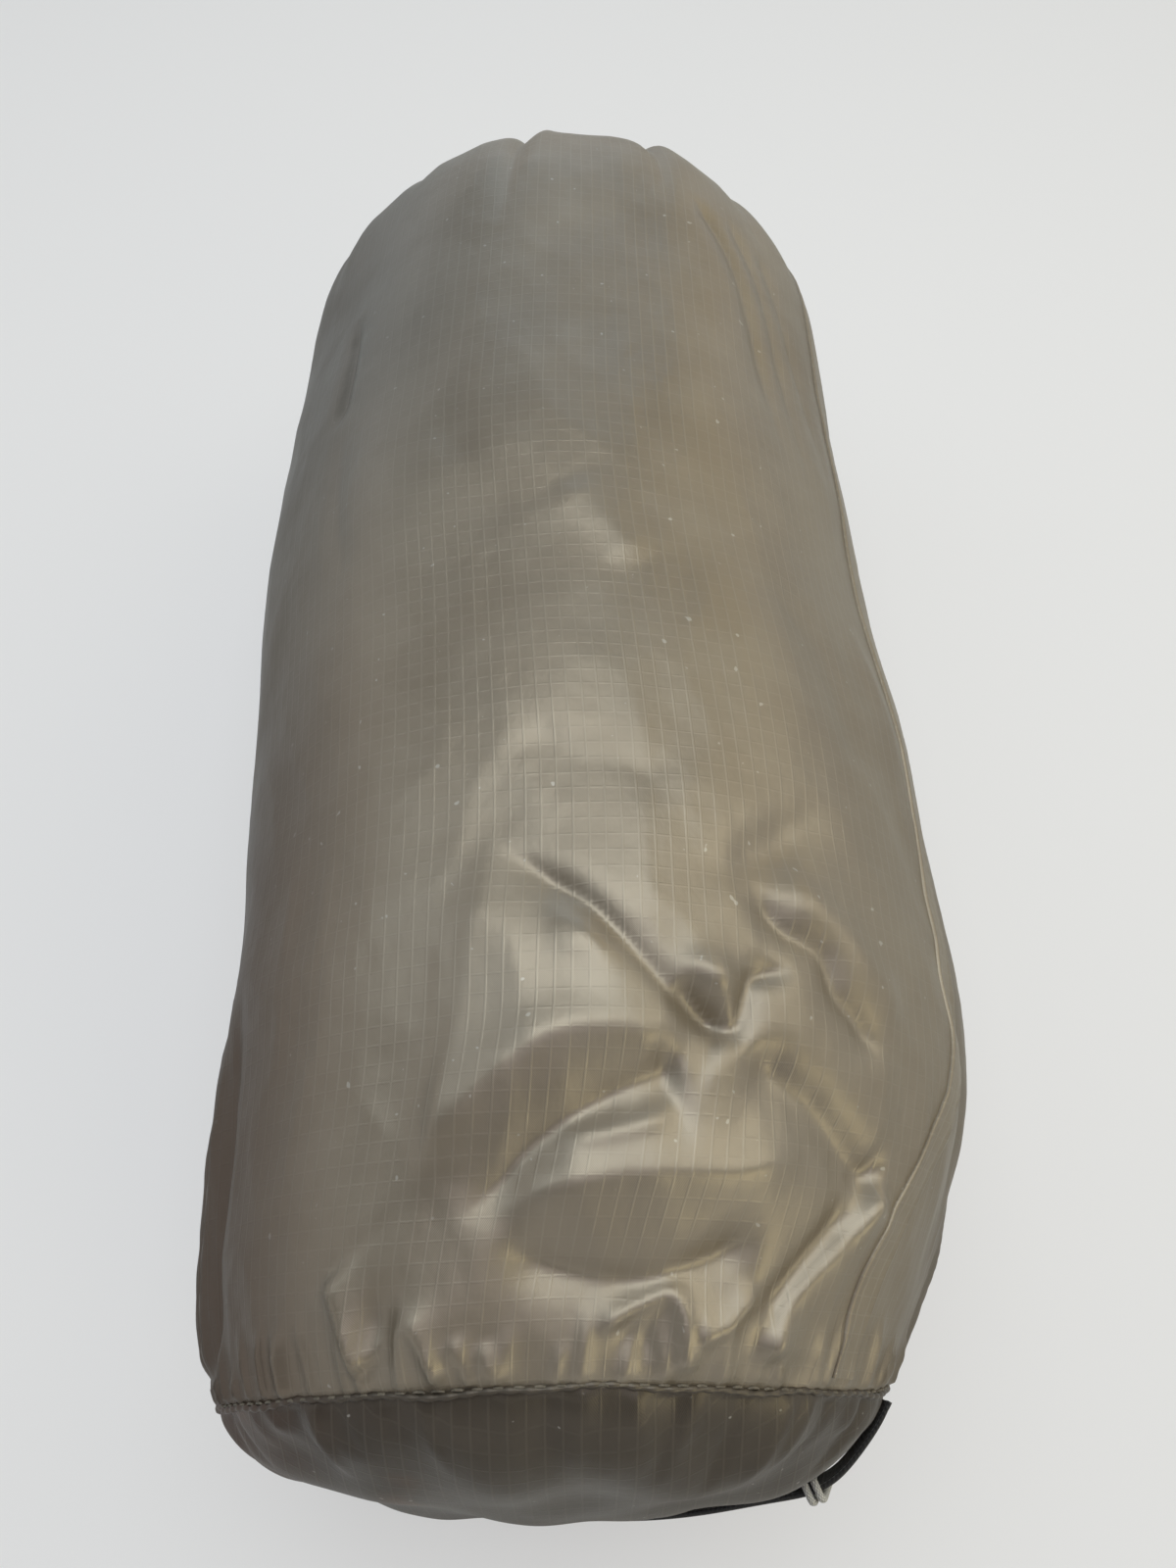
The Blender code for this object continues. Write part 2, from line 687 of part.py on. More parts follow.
def make_mouth_hem():
    """The gathered hem, with the channel that the drawcord lies in."""
    around = 4 * PLEATS
    sides = 8
    rows = []
    for i in range(around):
        angle = PLEAT_CREST + math.tau * i / around
        thickness = HEM_THICKNESS / 2 * (1 + HEM_LOBE * math.cos(PLEATS * (angle - PLEAT_CREST)))
        ring = []
        for j in range(sides):
            turn = math.tau * j / sides
            reach = HEM_RADIUS + thickness * math.cos(turn)
            ring.append(Vector((MOUTH_LEAN + reach * math.cos(angle),
                                HEM_Y + thickness * math.sin(turn),
                                AXIS_HEIGHT + reach * math.sin(angle))))
        rows.append(ring)
    item = add_object("mouth_hem", grid_mesh("mouth_hem", rows + rows[:1]), HEM_CLOTH)
    bm = bmesh.new()
    bm.from_mesh(item.data)
    bmesh.ops.remove_doubles(bm, verts=bm.verts, dist=0.00001)
    bmesh.ops.recalc_face_normals(bm, faces=bm.faces)
    bm.to_mesh(item.data)
    bm.free()
    channel = cord("channel_cutter", drawcord_points(), CORD_DIAMETER + 2 * GAP, CORD_MATERIAL)
    cut(item, as_mesh(channel))
    smooth(item, 50)


def make_cord_lock():
    """Barrel, plunger and spring, pressed against the hem."""
    bore = LOCK_RADIUS - LOCK_WALL
    slot_top = SLOT_CLEARANCE + LOCK_TRAVEL
    top = slot_top + LOCK_RIM
    foot = -SLOT_CLEARANCE - PLUNGER_FOOT
    floor = foot - SPRING_SPACE
    centre = (MOUTH_LEAN, LOCK_Y, STRAND_Z)
    slot_width = STRAND_SPACING + CORD_DIAMETER + 2 * GAP
    barrel = turned("cord_lock_barrel",
                    [(LOCK_RADIUS - LOCK_FILLET, top), (LOCK_RADIUS, top - LOCK_FILLET),
                     (LOCK_RADIUS, floor - LOCK_FLOOR + LOCK_FILLET),
                     (LOCK_RADIUS - LOCK_FILLET, floor - LOCK_FLOOR), (0.0, floor - LOCK_FLOOR),
                     (0.0, floor), (bore, floor), (bore, top)],
                    LOCK_PLASTIC, centre, sides=20)
    close_profile(barrel)
    barrel.rotation_euler = (0, 0, 0)
    slot = box("barrel_slot_cutter", (slot_width, 3 * LOCK_RADIUS, 2 * SLOT_CLEARANCE),
               centre, 0.0009)
    cut(barrel, slot)
    plunger_radius = bore - GAP
    cap = top + LOCK_TRAVEL + GAP
    plunger = turned("cord_lock_plunger",
                     [(0.0, cap + BUTTON_HEIGHT),
                      (BUTTON_RADIUS - LOCK_FILLET, cap + BUTTON_HEIGHT),
                      (BUTTON_RADIUS, cap + BUTTON_HEIGHT - LOCK_FILLET), (BUTTON_RADIUS, cap),
                      (plunger_radius, cap), (plunger_radius, foot), (0.0, foot)],
                     BUTTON_PLASTIC, centre, sides=20)
    plunger.rotation_euler = (0, 0, 0)
    middle = (MOUTH_LEAN, LOCK_Y, STRAND_Z + (slot_top - SLOT_CLEARANCE) / 2)
    slot = box("plunger_slot_cutter", (slot_width, 3 * LOCK_RADIUS, slot_top + SLOT_CLEARANCE),
               middle, 0.0009)
    cut(plunger, slot)
    points = []
    per_turn = 9
    count = round(per_turn * SPRING_TURNS)
    low = floor + GAP + SPRING_WIRE / 2
    high = foot - GAP - SPRING_WIRE / 2
    coil = bore - 2 * GAP - SPRING_WIRE
    for step in range(count + 1):
        angle = math.tau * step / per_turn
        points.append(Vector((MOUTH_LEAN + coil * math.cos(angle),
                              LOCK_Y + coil * math.sin(angle),
                              STRAND_Z + low + (high - low) * step / count)))
    cord("cord_lock_spring", points, SPRING_WIRE, SPRING_STEEL)


def close_profile(item):
    """Join the ends of a turned profile that starts and ends off the axis."""
    bm = bmesh.new()
    bm.from_mesh(item.data)
    bm.verts.ensure_lookup_table()
    first = bm.verts[0]
    last = bm.verts[-1]
    if not any(edge.other_vert(first) == last for edge in first.link_edges):
        bm.edges.new((last, first))
    for edge in list(bm.edges):
        if all(vert.co.x == 0.0 for vert in edge.verts):
            bm.edges.remove(edge)
    bm.to_mesh(item.data)
    bm.free()


# Handle

def handle_frame():
    """The strap's directions: along, across and out of the base, and its middle."""
    along = Vector((math.cos(HANDLE_TILT), 0, math.sin(HANDLE_TILT)))
    across = Vector((math.sin(HANDLE_TILT), 0, -math.cos(HANDLE_TILT)))
    middle = Vector((SEAM_LEAN, 0, SEAM_AXIS_HEIGHT)) + across * HANDLE_OFFSET
    return along, across, middle


def handle_point(turn, share, lift=0.0):
    """A point of the strap; its share is 0 at the edge nearer the base's centre and 1 at the other."""
    along, across, middle = handle_frame()
    edges = []
    for offset in (HANDLE_OFFSET - WEBBING_WIDTH / 2, HANDLE_OFFSET + WEBBING_WIDTH / 2):
        run = math.sqrt(SEAM_RADIUS ** 2 - offset ** 2) * math.cos(turn)
        edges.append(Vector((run, dome_rise(math.hypot(offset, run)))))
    out = Vector((math.cos(turn) / SEAM_RADIUS, math.sin(turn) / DOME_DEPTH)).normalized()
    slack = HANDLE_SLACK * bell((turn - BULGE_PLACE) / BULGE_SPREAD)
    run, rise = edges[0].lerp(edges[1], share) + out * (HANDLE_GAP + slack + lift)
    place = middle + along * run + across * WEBBING_WIDTH * (share - 0.5)
    place.y = base_shift(place.x, place.z) - rise
    return place


def make_handle():
    """The webbing strap across the base and the cord hitched round it."""
    rows = []
    count = 18
    for step in range(count + 1):
        turn = HANDLE_START + (math.pi - 2 * HANDLE_START) * step / count
        rows.append([handle_point(turn, 0), handle_point(turn, 1)])
    item = add_object("grab_handle", grid_mesh("grab_handle", rows, wrap=False), WEBBING)
    outwards = item.data.polygons[count // 2].normal.y < 0
    thicken(item, WEBBING_THICKNESS, inwards=not outwards)
    core = WEBBING_THICKNESS / 2
    across = handle_point(HITCH_PLACE, 1, core) - handle_point(HITCH_PLACE, 0, core)
    ahead = handle_point(HITCH_PLACE + 0.02, 0.5, core) - handle_point(HITCH_PLACE, 0.5, core)
    ahead.normalize()
    outward = ahead.cross(across).normalized()
    half_width = WEBBING_WIDTH / 2 + GAP + HITCH_CORD / 2
    half_height = core + GAP + HITCH_CORD / 2
    per_turn = 20
    points = []
    for step in range(per_turn * HITCH_TURNS + 1):
        angle = math.tau * step / per_turn
        wide, high = oval(angle, half_width, half_height, HITCH_POWER)
        shift = HITCH_PITCH * (step / per_turn - HITCH_TURNS / 2)
        place = handle_point(HITCH_PLACE, 0.5 + wide / WEBBING_WIDTH, core)
        points.append(place + outward * high + ahead * shift)
    cord("handle_cord_wrap", points, HITCH_CORD, WHITE_CORD)
    print("handle_cord_wrap: least gap to itself %.2f mm" % least_gap(points, HITCH_CORD))


# Rolled cloth

def rolled_cloth(name, stations, inner, outer, material, per_turn):
    """A roll between an inner and an outer boundary, both functions of (y, angle)."""
    mesh = bpy.data.meshes.new(name)
    bm = bmesh.new()
    count = ROLL_TURNS * per_turn
    pitch = 1 / (ROLL_TURNS + ROLL_FILL)

    def ring(y, share):
        verts = []
        for step in range(count + 1):
            angle = math.tau * step / per_turn
            t = pitch * (step / per_turn + share)
            low = inner(y, angle)
            high = outer(y, angle)
            verts.append(bm.verts.new((low[0] + (high[0] - low[0]) * t, y,
                                       low[1] + (high[1] - low[1]) * t)))
        return verts

    under = [ring(y, 0.0) for y in stations]
    over = [ring(y, ROLL_FILL) for y in stations]
    for a, b, c, d in zip(under, under[1:], over, over[1:]):
        for i in range(count):
            bm.faces.new((a[i], a[i + 1], b[i + 1], b[i]))
            bm.faces.new((c[i], d[i], d[i + 1], c[i + 1]))
        bm.faces.new((a[0], b[0], d[0], c[0]))
        bm.faces.new((a[count], c[count], d[count], b[count]))
    for i in range(count):
        bm.faces.new((under[0][i], over[0][i], over[0][i + 1], under[0][i + 1]))
        bm.faces.new((under[-1][i], under[-1][i + 1], over[-1][i + 1], over[-1][i]))
    bmesh.ops.recalc_face_normals(bm, faces=bm.faces)
    bm.to_mesh(mesh)
    bm.free()
    smooth(add_object(name, mesh, material), 50)


def core_boundary(y, angle):
    """The oval that the two inner bags need."""
    x, z = oval(angle, CORE_HALF_WIDTH, CORE_HALF_HEIGHT, CORE_POWER)
    return CORE_X + x, AXIS_HEIGHT + z


def inner_roll_boundary(clearance):
    """The round outside of the inner tent's roll, flattened a little below."""
    def boundary(y, angle):
        radius = INNER_ROLL_RADIUS + clearance
        drop = INNER_ROLL_FLATNESS if math.sin(angle) < 0 else 1.0
        return (CORE_X + radius * math.cos(angle),
                AXIS_HEIGHT + radius * drop * math.sin(angle))
    return boundary


def make_rolls():
    """The inner tent rolled round the bags, and the rainfly rolled round it."""
    rolled_cloth("inner_tent_roll", [INNER_ROLL_START, INNER_ROLL_END], core_boundary,
                 inner_roll_boundary(0.0), INNER_TENT_CLOTH, 20)
    beyond_folds = [y for y in TUBE_STATIONS if y > FOLDS_END]
    stations = [FLY_START, TAPER_LENGTH / 3] + beyond_folds + [CAP_START, FLY_END]
    rolled_cloth("rainfly_roll", stations,
                 inner_roll_boundary(ROLL_CLEARANCE),
                 lambda y, angle: room_point(y, angle, ROLL_CLEARANCE), FLY_CLOTH, 18)


# Inner bags

def make_bag(name, start, end, half_width, half_height, power, height, material):
    """A sleeve, closed at its base end and open at the other."""
    rows = []
    for y in (start, end):
        row = []
        for i in range(BAG_SIDES):
            x, z = oval(math.tau * i / BAG_SIDES, half_width, half_height, power)
            row.append(Vector((CORE_X + x, y, height + z)))
        rows.append(row)
    mesh = grid_mesh(name, rows)
    bm = bmesh.new()
    bm.from_mesh(mesh)
    rim = [edge for edge in bm.edges if edge.is_boundary and edge.verts[0].co.y < start + GAP]
    bmesh.ops.contextual_create(bm, geom=rim)
    bmesh.ops.recalc_face_normals(bm, faces=bm.faces)
    bm.to_mesh(mesh)
    bm.free()
    item = add_object(name, mesh, material)
    solid = thicken(item, CLOTH)
    solid.use_even_offset = True


def make_bags():
    """The pole bag and the stake bag."""
    make_bag("pole_bag", POLE_BAG_START, POLE_BAG_END, *POLE_BAG_OUTER, POLE_BAG_POWER,
             POLE_BAG_Z, POLE_BAG_CLOTH)
    make_bag("stake_bag", STAKE_BAG_START, STAKE_BAG_END, *STAKE_BAG_OUTER, STAKE_BAG_POWER,
             STAKE_BAG_Z, STAKE_BAG_CLOTH)


# Poles

def tube_place(place):
    """World x and z of a folded section."""
    along, row = place
    z = POLE_BAG_Z + ROW_PITCH * (row - (POLE_ROWS - 1) / 2)
    return CORE_X + TUBE_PITCH * along, z


def make_section(name, place, ferrule_at_end):
    """A pole section with a ferrule at one end, or plain where a tip closes it."""
    x, z = tube_place(place)
    if ferrule_at_end is None:
        profile = [(TUBE_RADIUS, SECTION_END), (TUBE_RADIUS, SECTION_START),
                   (BORE_RADIUS, SECTION_START), (BORE_RADIUS, SECTION_END)]
    else:
        way = 1 if ferrule_at_end else -1
        near = SECTION_END if ferrule_at_end else SECTION_START
        far = SECTION_START if ferrule_at_end else SECTION_END
        inner = FERRULE_RADIUS - FERRULE_WALL
        tip = near + way * FERRULE_LENGTH
        grip = near - way * FERRULE_GRIP
        profile = [(FERRULE_RADIUS, tip), (FERRULE_RADIUS, near), (TUBE_RADIUS, near),
                   (TUBE_RADIUS, far), (BORE_RADIUS, far), (BORE_RADIUS, grip),
                   (inner, grip), (inner, tip)]
        if not ferrule_at_end:
            profile.reverse()
    smooth(turned(name, profile, POLE_ALUMINIUM, (x, 0, z)))


def make_tip(name, place):
    """The ball tip in a pole's last section, which plugs into the tent's corner."""
    x, z = tube_place(place)
    shoulder = SECTION_START - GAP
    neck = shoulder - TIP_SHOULDER
    ball = neck - TIP_NECK - TIP_BALL
    profile = [(0.0, SECTION_START + SPIGOT_LENGTH), (FERRULE_RADIUS, SECTION_START + SPIGOT_LENGTH),
               (FERRULE_RADIUS, shoulder), (TUBE_RADIUS, shoulder), (TUBE_RADIUS, neck),
               (TIP_NECK, neck), (TIP_NECK, neck - TIP_NECK)]
    for degrees in (20, -20, -55):
        turn = math.radians(degrees)
        profile.append((TIP_BALL * math.cos(turn), ball + TIP_BALL * math.sin(turn)))
    profile.append((0.0, ball - TIP_BALL))
    item = turned(name, profile, TIP_ALUMINIUM, (x, 0, z))
    smooth(item)


def make_hub():
    """The hub block, with a spigot in the first section of each of the three poles."""
    places = [tube_place(pole[0]) for pole in (LEFT_LEG, RIGHT_LEG, SPINE)]
    centre_x = sum(x for x, z in places) / 3
    centre_z = sum(z for x, z in places) / 3
    top = SECTION_START - GAP
    reach = TUBE_RADIUS + HUB_MARGIN
    outline = []
    per_corner = 9
    for x, z in places:
        heading = math.atan2(z - centre_z, x - centre_x)
        for step in range(per_corner):
            angle = heading + HUB_WRAP * (2 * step / (per_corner - 1) - 1)
            outline.append((math.atan2(z - centre_z, x - centre_x),
                            angle, x + reach * math.cos(angle), z + reach * math.sin(angle)))
    outline.sort()
    mesh = bpy.data.meshes.new("pole_hub")
    bm = bmesh.new()
    lower = [bm.verts.new((x, top - HUB_THICKNESS, z)) for _, _, x, z in outline]
    upper = [bm.verts.new((x, top, z)) for _, _, x, z in outline]
    bm.faces.new(lower)
    bm.faces.new(list(reversed(upper)))
    for i in range(len(outline)):
        j = (i + 1) % len(outline)
        bm.faces.new((lower[i], upper[i], upper[j], lower[j]))
    bmesh.ops.recalc_face_normals(bm, faces=bm.faces)
    bm.to_mesh(mesh)
    bm.free()
    hub = add_object("pole_hub", mesh, HUB_PLASTIC)
    for number, (x, z) in enumerate(places):
        spigot = turned("hub_spigot_%d" % number,
                        [(0.0, SECTION_START + SPIGOT_LENGTH),
                         (FERRULE_RADIUS, SECTION_START + SPIGOT_LENGTH),
                         (FERRULE_RADIUS, top - HUB_THICKNESS / 2),
                         (0.0, top - HUB_THICKNESS / 2)], HUB_PLASTIC, (x, 0, z))
        cut(hub, spigot)
        hub.modifiers[-1].operation = "UNION"


def shock_cord_points(pole):
    """From inside the first section, through each turn, into the last one."""
    places = [tube_place(place) for place in pole]
    start = SECTION_START + SPIGOT_LENGTH + GAP
    points = [Vector((places[0][0], start, places[0][1]))]
    per_turn = 4
    for number, (here, after) in enumerate(zip(places, places[1:])):
        way = 1 if number % 2 == 0 else -1
        edge = SECTION_END if way > 0 else SECTION_START
        level = edge + way * (FERRULE_LENGTH + CORD_LEAD)
        middle = Vector(((here[0] + after[0]) / 2, level, (here[1] + after[1]) / 2))
        side = Vector((here[0], level, here[1])) - middle
        for step in range(per_turn + 1):
            angle = math.pi * step / per_turn
            rise = Vector((0, way * side.length * math.sin(angle), 0))
            points.append(middle + side * math.cos(angle) + rise)
    points.append(Vector((places[-1][0], start, places[-1][1])))
    return points


def make_poles():
    """Three shock-corded poles, folded into one bundle."""
    make_hub()
    number = 0
    for title, pole in (("left_leg", LEFT_LEG), ("right_leg", RIGHT_LEG), ("spine", SPINE)):
        for index, place in enumerate(pole):
            number += 1
            last = index == len(pole) - 1
            ferrule = None if last else index % 2 == 0
            make_section("pole_section_%02d" % number, place, ferrule)
        make_tip("pole_tip_" + title, pole[-1])
        cord("shock_cord_" + title, shock_cord_points(pole), SHOCK_CORD_DIAMETER, SHOCK_CORD)


# Stakes and small parts

def stake_outline(size):
    """The three-finned section, one fin up, as (x, z)."""
    outline = []
    root = STAKE_PLATE / math.sqrt(3)
    for fin in range(3):
        heading = math.pi / 2 + math.tau * fin / 3
        out = Vector((math.cos(heading), math.sin(heading)))
        left = Vector((-out.y, out.x))
        tip = out * STAKE_FIN * size
        half = left * STAKE_PLATE / 2
        outline.append(tip - half)
        outline.append(tip + half)
        corner = heading + math.pi / 3
        outline.append(Vector((math.cos(corner), math.sin(corner))) * root)
    return outline


def make_stake(name, x, z, upside_down):
    """A stake with a notch for the guy line and a point."""
    stations = [(0.0, 1.0), (STAKE_NOTCH - STAKE_PLATE, 1.0), (STAKE_NOTCH, STAKE_NOTCH_SIZE),
                (STAKE_NOTCH + STAKE_PLATE, 1.0), (STAKE_LENGTH - STAKE_POINT, 1.0),
                (STAKE_LENGTH, 0.2)]
    way = -1 if upside_down else 1
    mesh = bpy.data.meshes.new(name)
    bm = bmesh.new()
    rings = []
    for y, size in stations:
        rings.append([bm.verts.new((p.x, y, p.y * way)) for p in stake_outline(size)])
    bm.faces.new(rings[0])
    bm.faces.new(list(reversed(rings[-1])))
    count = len(rings[0])
    for near, far in zip(rings, rings[1:]):
        for i in range(count):
            j = (i + 1) % count
            bm.faces.new((near[i], far[i], far[j], near[j]))
    bmesh.ops.recalc_face_normals(bm, faces=bm.faces)
    bm.to_mesh(mesh)
    bm.free()
    add_object(name, mesh, STAKE_ALUMINIUM, (x, STAKE_START, z))


def make_stakes():
    """Eight stakes in two rows, every other one upside down so that their fins nest."""
    number = 0
    for row in (-1, 1):
        for column in range(STAKES_IN_ROW):
            number += 1
            x = CORE_X + STAKE_PITCH * (column - (STAKES_IN_ROW - 1) / 2)
            z = STAKE_BAG_Z + row * STAKE_ROW
            make_stake("stake_%d" % number, x, z, (column + (row > 0)) % 2 == 1)


def hank_points():
    """The guy line, wound round and round in one flat hank about its middle."""
    turn_radius = (HANK_THICKNESS - GUY_LINE_DIAMETER) / 2
    reach = (HANK_LENGTH - GUY_LINE_DIAMETER) / 2 - turn_radius
    per_end = 6
    points = []
    for half in range(2 * HANK_LOOPS):
        way = 1 if half % 2 == 0 else -1
        x = HANK_PITCH * (half / 2 - (HANK_LOOPS - 0.5) / 2)
        for step in range(per_end):
            turn = math.pi * (step / (per_end - 1) - 0.5)
            points.append(Vector((x, way * (reach + turn_radius * math.cos(turn)),
                                  way * turn_radius * math.sin(turn))))
    return points


def make_small_parts():
    """The guy line's hank, its two tensioners and the pole repair sleeve."""
    floor = STAKE_BAG_Z - STAKE_BAG_HALF_HEIGHT + HANK_LIFT
    hank = cord("guyline_hank", hank_points(), GUY_LINE_DIAMETER, GUY_LINE)
    hank.location = (CORE_X, HANK_START + HANK_LENGTH / 2, floor + HANK_THICKNESS / 2)
    print("guyline_hank: least gap to itself %.2f mm" % least_gap(hank_points(), GUY_LINE_DIAMETER))

    top = floor + HANK_THICKNESS + GAP
    outer = SLEEVE_DIAMETER / 2
    inner = outer - SLEEVE_WALL
    start = HANK_START + (HANK_LENGTH - SLEEVE_LENGTH) / 2
    smooth(turned("repair_sleeve", [(outer, SLEEVE_LENGTH), (outer, 0.0), (inner, 0.0),
                                    (inner, SLEEVE_LENGTH)], POLE_ALUMINIUM,
                  (CORE_X + SLEEVE_X, start, top + outer)))
    for number in range(2):
        y = start + TENSIONER_LENGTH / 2 + TENSIONER_STEP * number
        place = (CORE_X + TENSIONER_X, y, top + TENSIONER_THICKNESS / 2)
        size = (TENSIONER_WIDTH, TENSIONER_LENGTH, TENSIONER_THICKNESS)
        loose = box("line_tensioner_%d" % (number + 1), size, place, 0.0006)
        item = add_object(loose.name, loose.data, TENSIONER_PLASTIC, place)
        bpy.data.objects.remove(loose)
        item.name = "line_tensioner_%d" % (number + 1)
        for hole in (-1, 0, 1):
            drill = bpy.data.meshes.new("tensioner_drill")
            bm = bmesh.new()
            bmesh.ops.create_cone(bm, cap_ends=True, segments=8, radius1=TENSIONER_HOLE,
                                  radius2=TENSIONER_HOLE, depth=3 * TENSIONER_THICKNESS)
            bm.to_mesh(drill)
            bm.free()
            cutter = bpy.data.objects.new("tensioner_drill", drill)
            cutter.location = (place[0], y + hole * TENSIONER_LENGTH / 3, place[2])
            cut(item, cutter)


def centre_model():
    """Put the middle of the model's underside at the origin."""
    bpy.context.view_layer.update()
    graph = bpy.context.evaluated_depsgraph_get()
    low = Vector((math.inf,) * 3)
    high = Vector((-math.inf,) * 3)
    for item in PARTS.objects:
        if item.type == "EMPTY":
            continue
        solid = item.evaluated_get(graph)
        mesh = solid.to_mesh()
        for vert in mesh.vertices:
            point = solid.matrix_world @ vert.co
            low = Vector(map(min, low, point))
            high = Vector(map(max, high, point))
        solid.to_mesh_clear()
    ROOT.location = (-(low.x + high.x) / 2, -(low.y + high.y) / 2, -low.z)
    bpy.context.view_layer.update()


clean_scene()
PARTS = bpy.data.collections.new("one_person_tent")
CUTTERS = bpy.data.collections.new("cutters")
bpy.context.scene.collection.children.link(PARTS)
bpy.context.scene.collection.children.link(CUTTERS)
ROOT = bpy.data.objects.new("frame_origin", None)
PARTS.objects.link(ROOT)

SACK_CLOTH = make_material("sack_cloth", (0.30, 0.27, 0.21), 0.42)
BASE_CLOTH = make_material("base_cloth", (0.25, 0.21, 0.16), 0.45)
SEAM_CLOTH = make_material("seam_cloth", (0.34, 0.31, 0.25), 0.60)
HEM_CLOTH = make_material("hem_cloth", (0.28, 0.25, 0.20), 0.50)
CORD_MATERIAL = make_material("drawcord", (0.05, 0.05, 0.05), 0.80)
LOCK_PLASTIC = make_material("lock_plastic", (0.03, 0.03, 0.03), 0.45)
BUTTON_PLASTIC = make_material("button_plastic", (0.04, 0.04, 0.04), 0.40)
SPRING_STEEL = make_material("spring_steel", (0.60, 0.60, 0.58), 0.30, 1.0)
WEBBING = make_material("webbing", (0.015, 0.015, 0.016), 0.75)
WHITE_CORD = make_material("white_cord", (0.80, 0.79, 0.75), 0.80)
INNER_TENT_CLOTH = make_material("inner_tent_cloth", (0.55, 0.55, 0.52), 0.80)
FLY_CLOTH = make_material("fly_cloth", (0.45, 0.40, 0.28), 0.55)
POLE_BAG_CLOTH = make_material("pole_bag_cloth", (0.22, 0.22, 0.20), 0.70)
STAKE_BAG_CLOTH = make_material("stake_bag_cloth", (0.25, 0.24, 0.22), 0.70)
POLE_ALUMINIUM = make_material("pole_aluminium", (0.55, 0.56, 0.58), 0.35, 1.0)
TIP_ALUMINIUM = make_material("tip_aluminium", (0.70, 0.70, 0.72), 0.30, 1.0)
HUB_PLASTIC = make_material("hub_plastic", (0.05, 0.05, 0.05), 0.50)
SHOCK_CORD = make_material("shock_cord", (0.75, 0.72, 0.65), 0.80)
STAKE_ALUMINIUM = make_material("stake_aluminium", (0.45, 0.10, 0.07), 0.35, 1.0)
GUY_LINE = make_material("guy_line", (0.70, 0.70, 0.30), 0.80)
TENSIONER_PLASTIC = make_material("tensioner_plastic", (0.06, 0.06, 0.06), 0.45)

make_sack_body()
make_sack_base()
make_base_seam()
make_side_seam()
make_mouth_hem()
make_drawcord()
make_cord_lock()
make_handle()
make_rolls()
make_bags()
make_poles()
make_stakes()
make_small_parts()
centre_model()
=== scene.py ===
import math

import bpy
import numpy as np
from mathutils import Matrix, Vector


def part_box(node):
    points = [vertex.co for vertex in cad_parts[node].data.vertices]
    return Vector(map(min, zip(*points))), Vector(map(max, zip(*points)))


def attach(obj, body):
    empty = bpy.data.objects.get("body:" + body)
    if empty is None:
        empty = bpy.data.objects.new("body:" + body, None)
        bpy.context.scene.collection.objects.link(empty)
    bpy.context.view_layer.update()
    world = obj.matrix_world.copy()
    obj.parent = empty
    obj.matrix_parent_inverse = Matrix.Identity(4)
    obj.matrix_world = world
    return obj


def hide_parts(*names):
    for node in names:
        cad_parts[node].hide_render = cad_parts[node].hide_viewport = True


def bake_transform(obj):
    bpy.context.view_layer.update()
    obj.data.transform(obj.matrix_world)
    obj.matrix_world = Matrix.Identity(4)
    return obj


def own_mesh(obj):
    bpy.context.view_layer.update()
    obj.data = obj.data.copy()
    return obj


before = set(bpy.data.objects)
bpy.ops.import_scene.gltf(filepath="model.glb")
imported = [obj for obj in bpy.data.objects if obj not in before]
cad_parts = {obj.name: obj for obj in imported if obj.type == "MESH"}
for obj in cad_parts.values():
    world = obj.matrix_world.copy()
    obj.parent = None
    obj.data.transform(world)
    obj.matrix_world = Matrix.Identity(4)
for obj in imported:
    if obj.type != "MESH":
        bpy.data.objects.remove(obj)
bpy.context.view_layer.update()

# Looks of a one-person tent that lies packed in its ripstop stuff sack.
# Lengths are in metres unless a name ends in MM, and angles round the sack are in
# degrees: 0 is its right side, seen from its base, and 90 its top.

MM = 0.001

# The sack's shape, as in the solids
SACK_RADIUS = 0.0760
SACK_LENGTH = 0.3178
AXIS_HEIGHT = 0.0700
SEAM_RADIUS = 0.0617
SEAM_AXIS_HEIGHT = 0.0645
TAPER_LENGTH = 0.0750
NARROWING_RUN = 0.0683
MOUTH_RADIUS = 0.0742
MOUTH_LENGTH = 0.0645
MOUTH_POWER = 2.8
NECK_RADIUS = 0.0070
SEAM_LEAN = -0.0061
MIDDLE_LEAN = 0.0010
MOUTH_LEAN = -0.0062
LEAN_RUN = 0.0550
MOUTH_LEAN_START = 0.0780
MOUTH_LEAN_RUN = 0.1160
DOME_DEPTH = 0.0178
DOME_POWER = 1.75
CAP_START = SACK_LENGTH - MOUTH_LENGTH
# How far the base seam lies up the tube: (metres, degrees round the sack, spread in degrees)
SEAM_SHIFTS = ((0.0026, 75.0, 50.0), (0.0038, 2.0, 26.0))
SEAM_SHIFT_RUN = 0.0140
SEAM_SHIFT_POWER = 8

# Felled seam along the tube, as in the solids
SIDE_SEAM_DEGREES = 27.0
SIDE_SEAM_TURN = 15.5
SIDE_SEAM_TURN_START = 0.0180
SIDE_SEAM_TURN_RUN = 0.0480
SIDE_SEAM_WIDTH_MM = 7.5
SIDE_SEAM_ENDS_MM = (3.0, 219.0)

# Stitches; a row on the side seam is a share of its width from its middle
STITCH_PITCH_MM = 3.0
STITCH_ROW = 0.30
THREAD_DIAMETER = 0.0005
STITCH_LIFT = 0.00052        # the side seam's band is thicker than the cloth below it
SIDE_STITCH = 0.0022
SEAM_EDGE = 0.00055

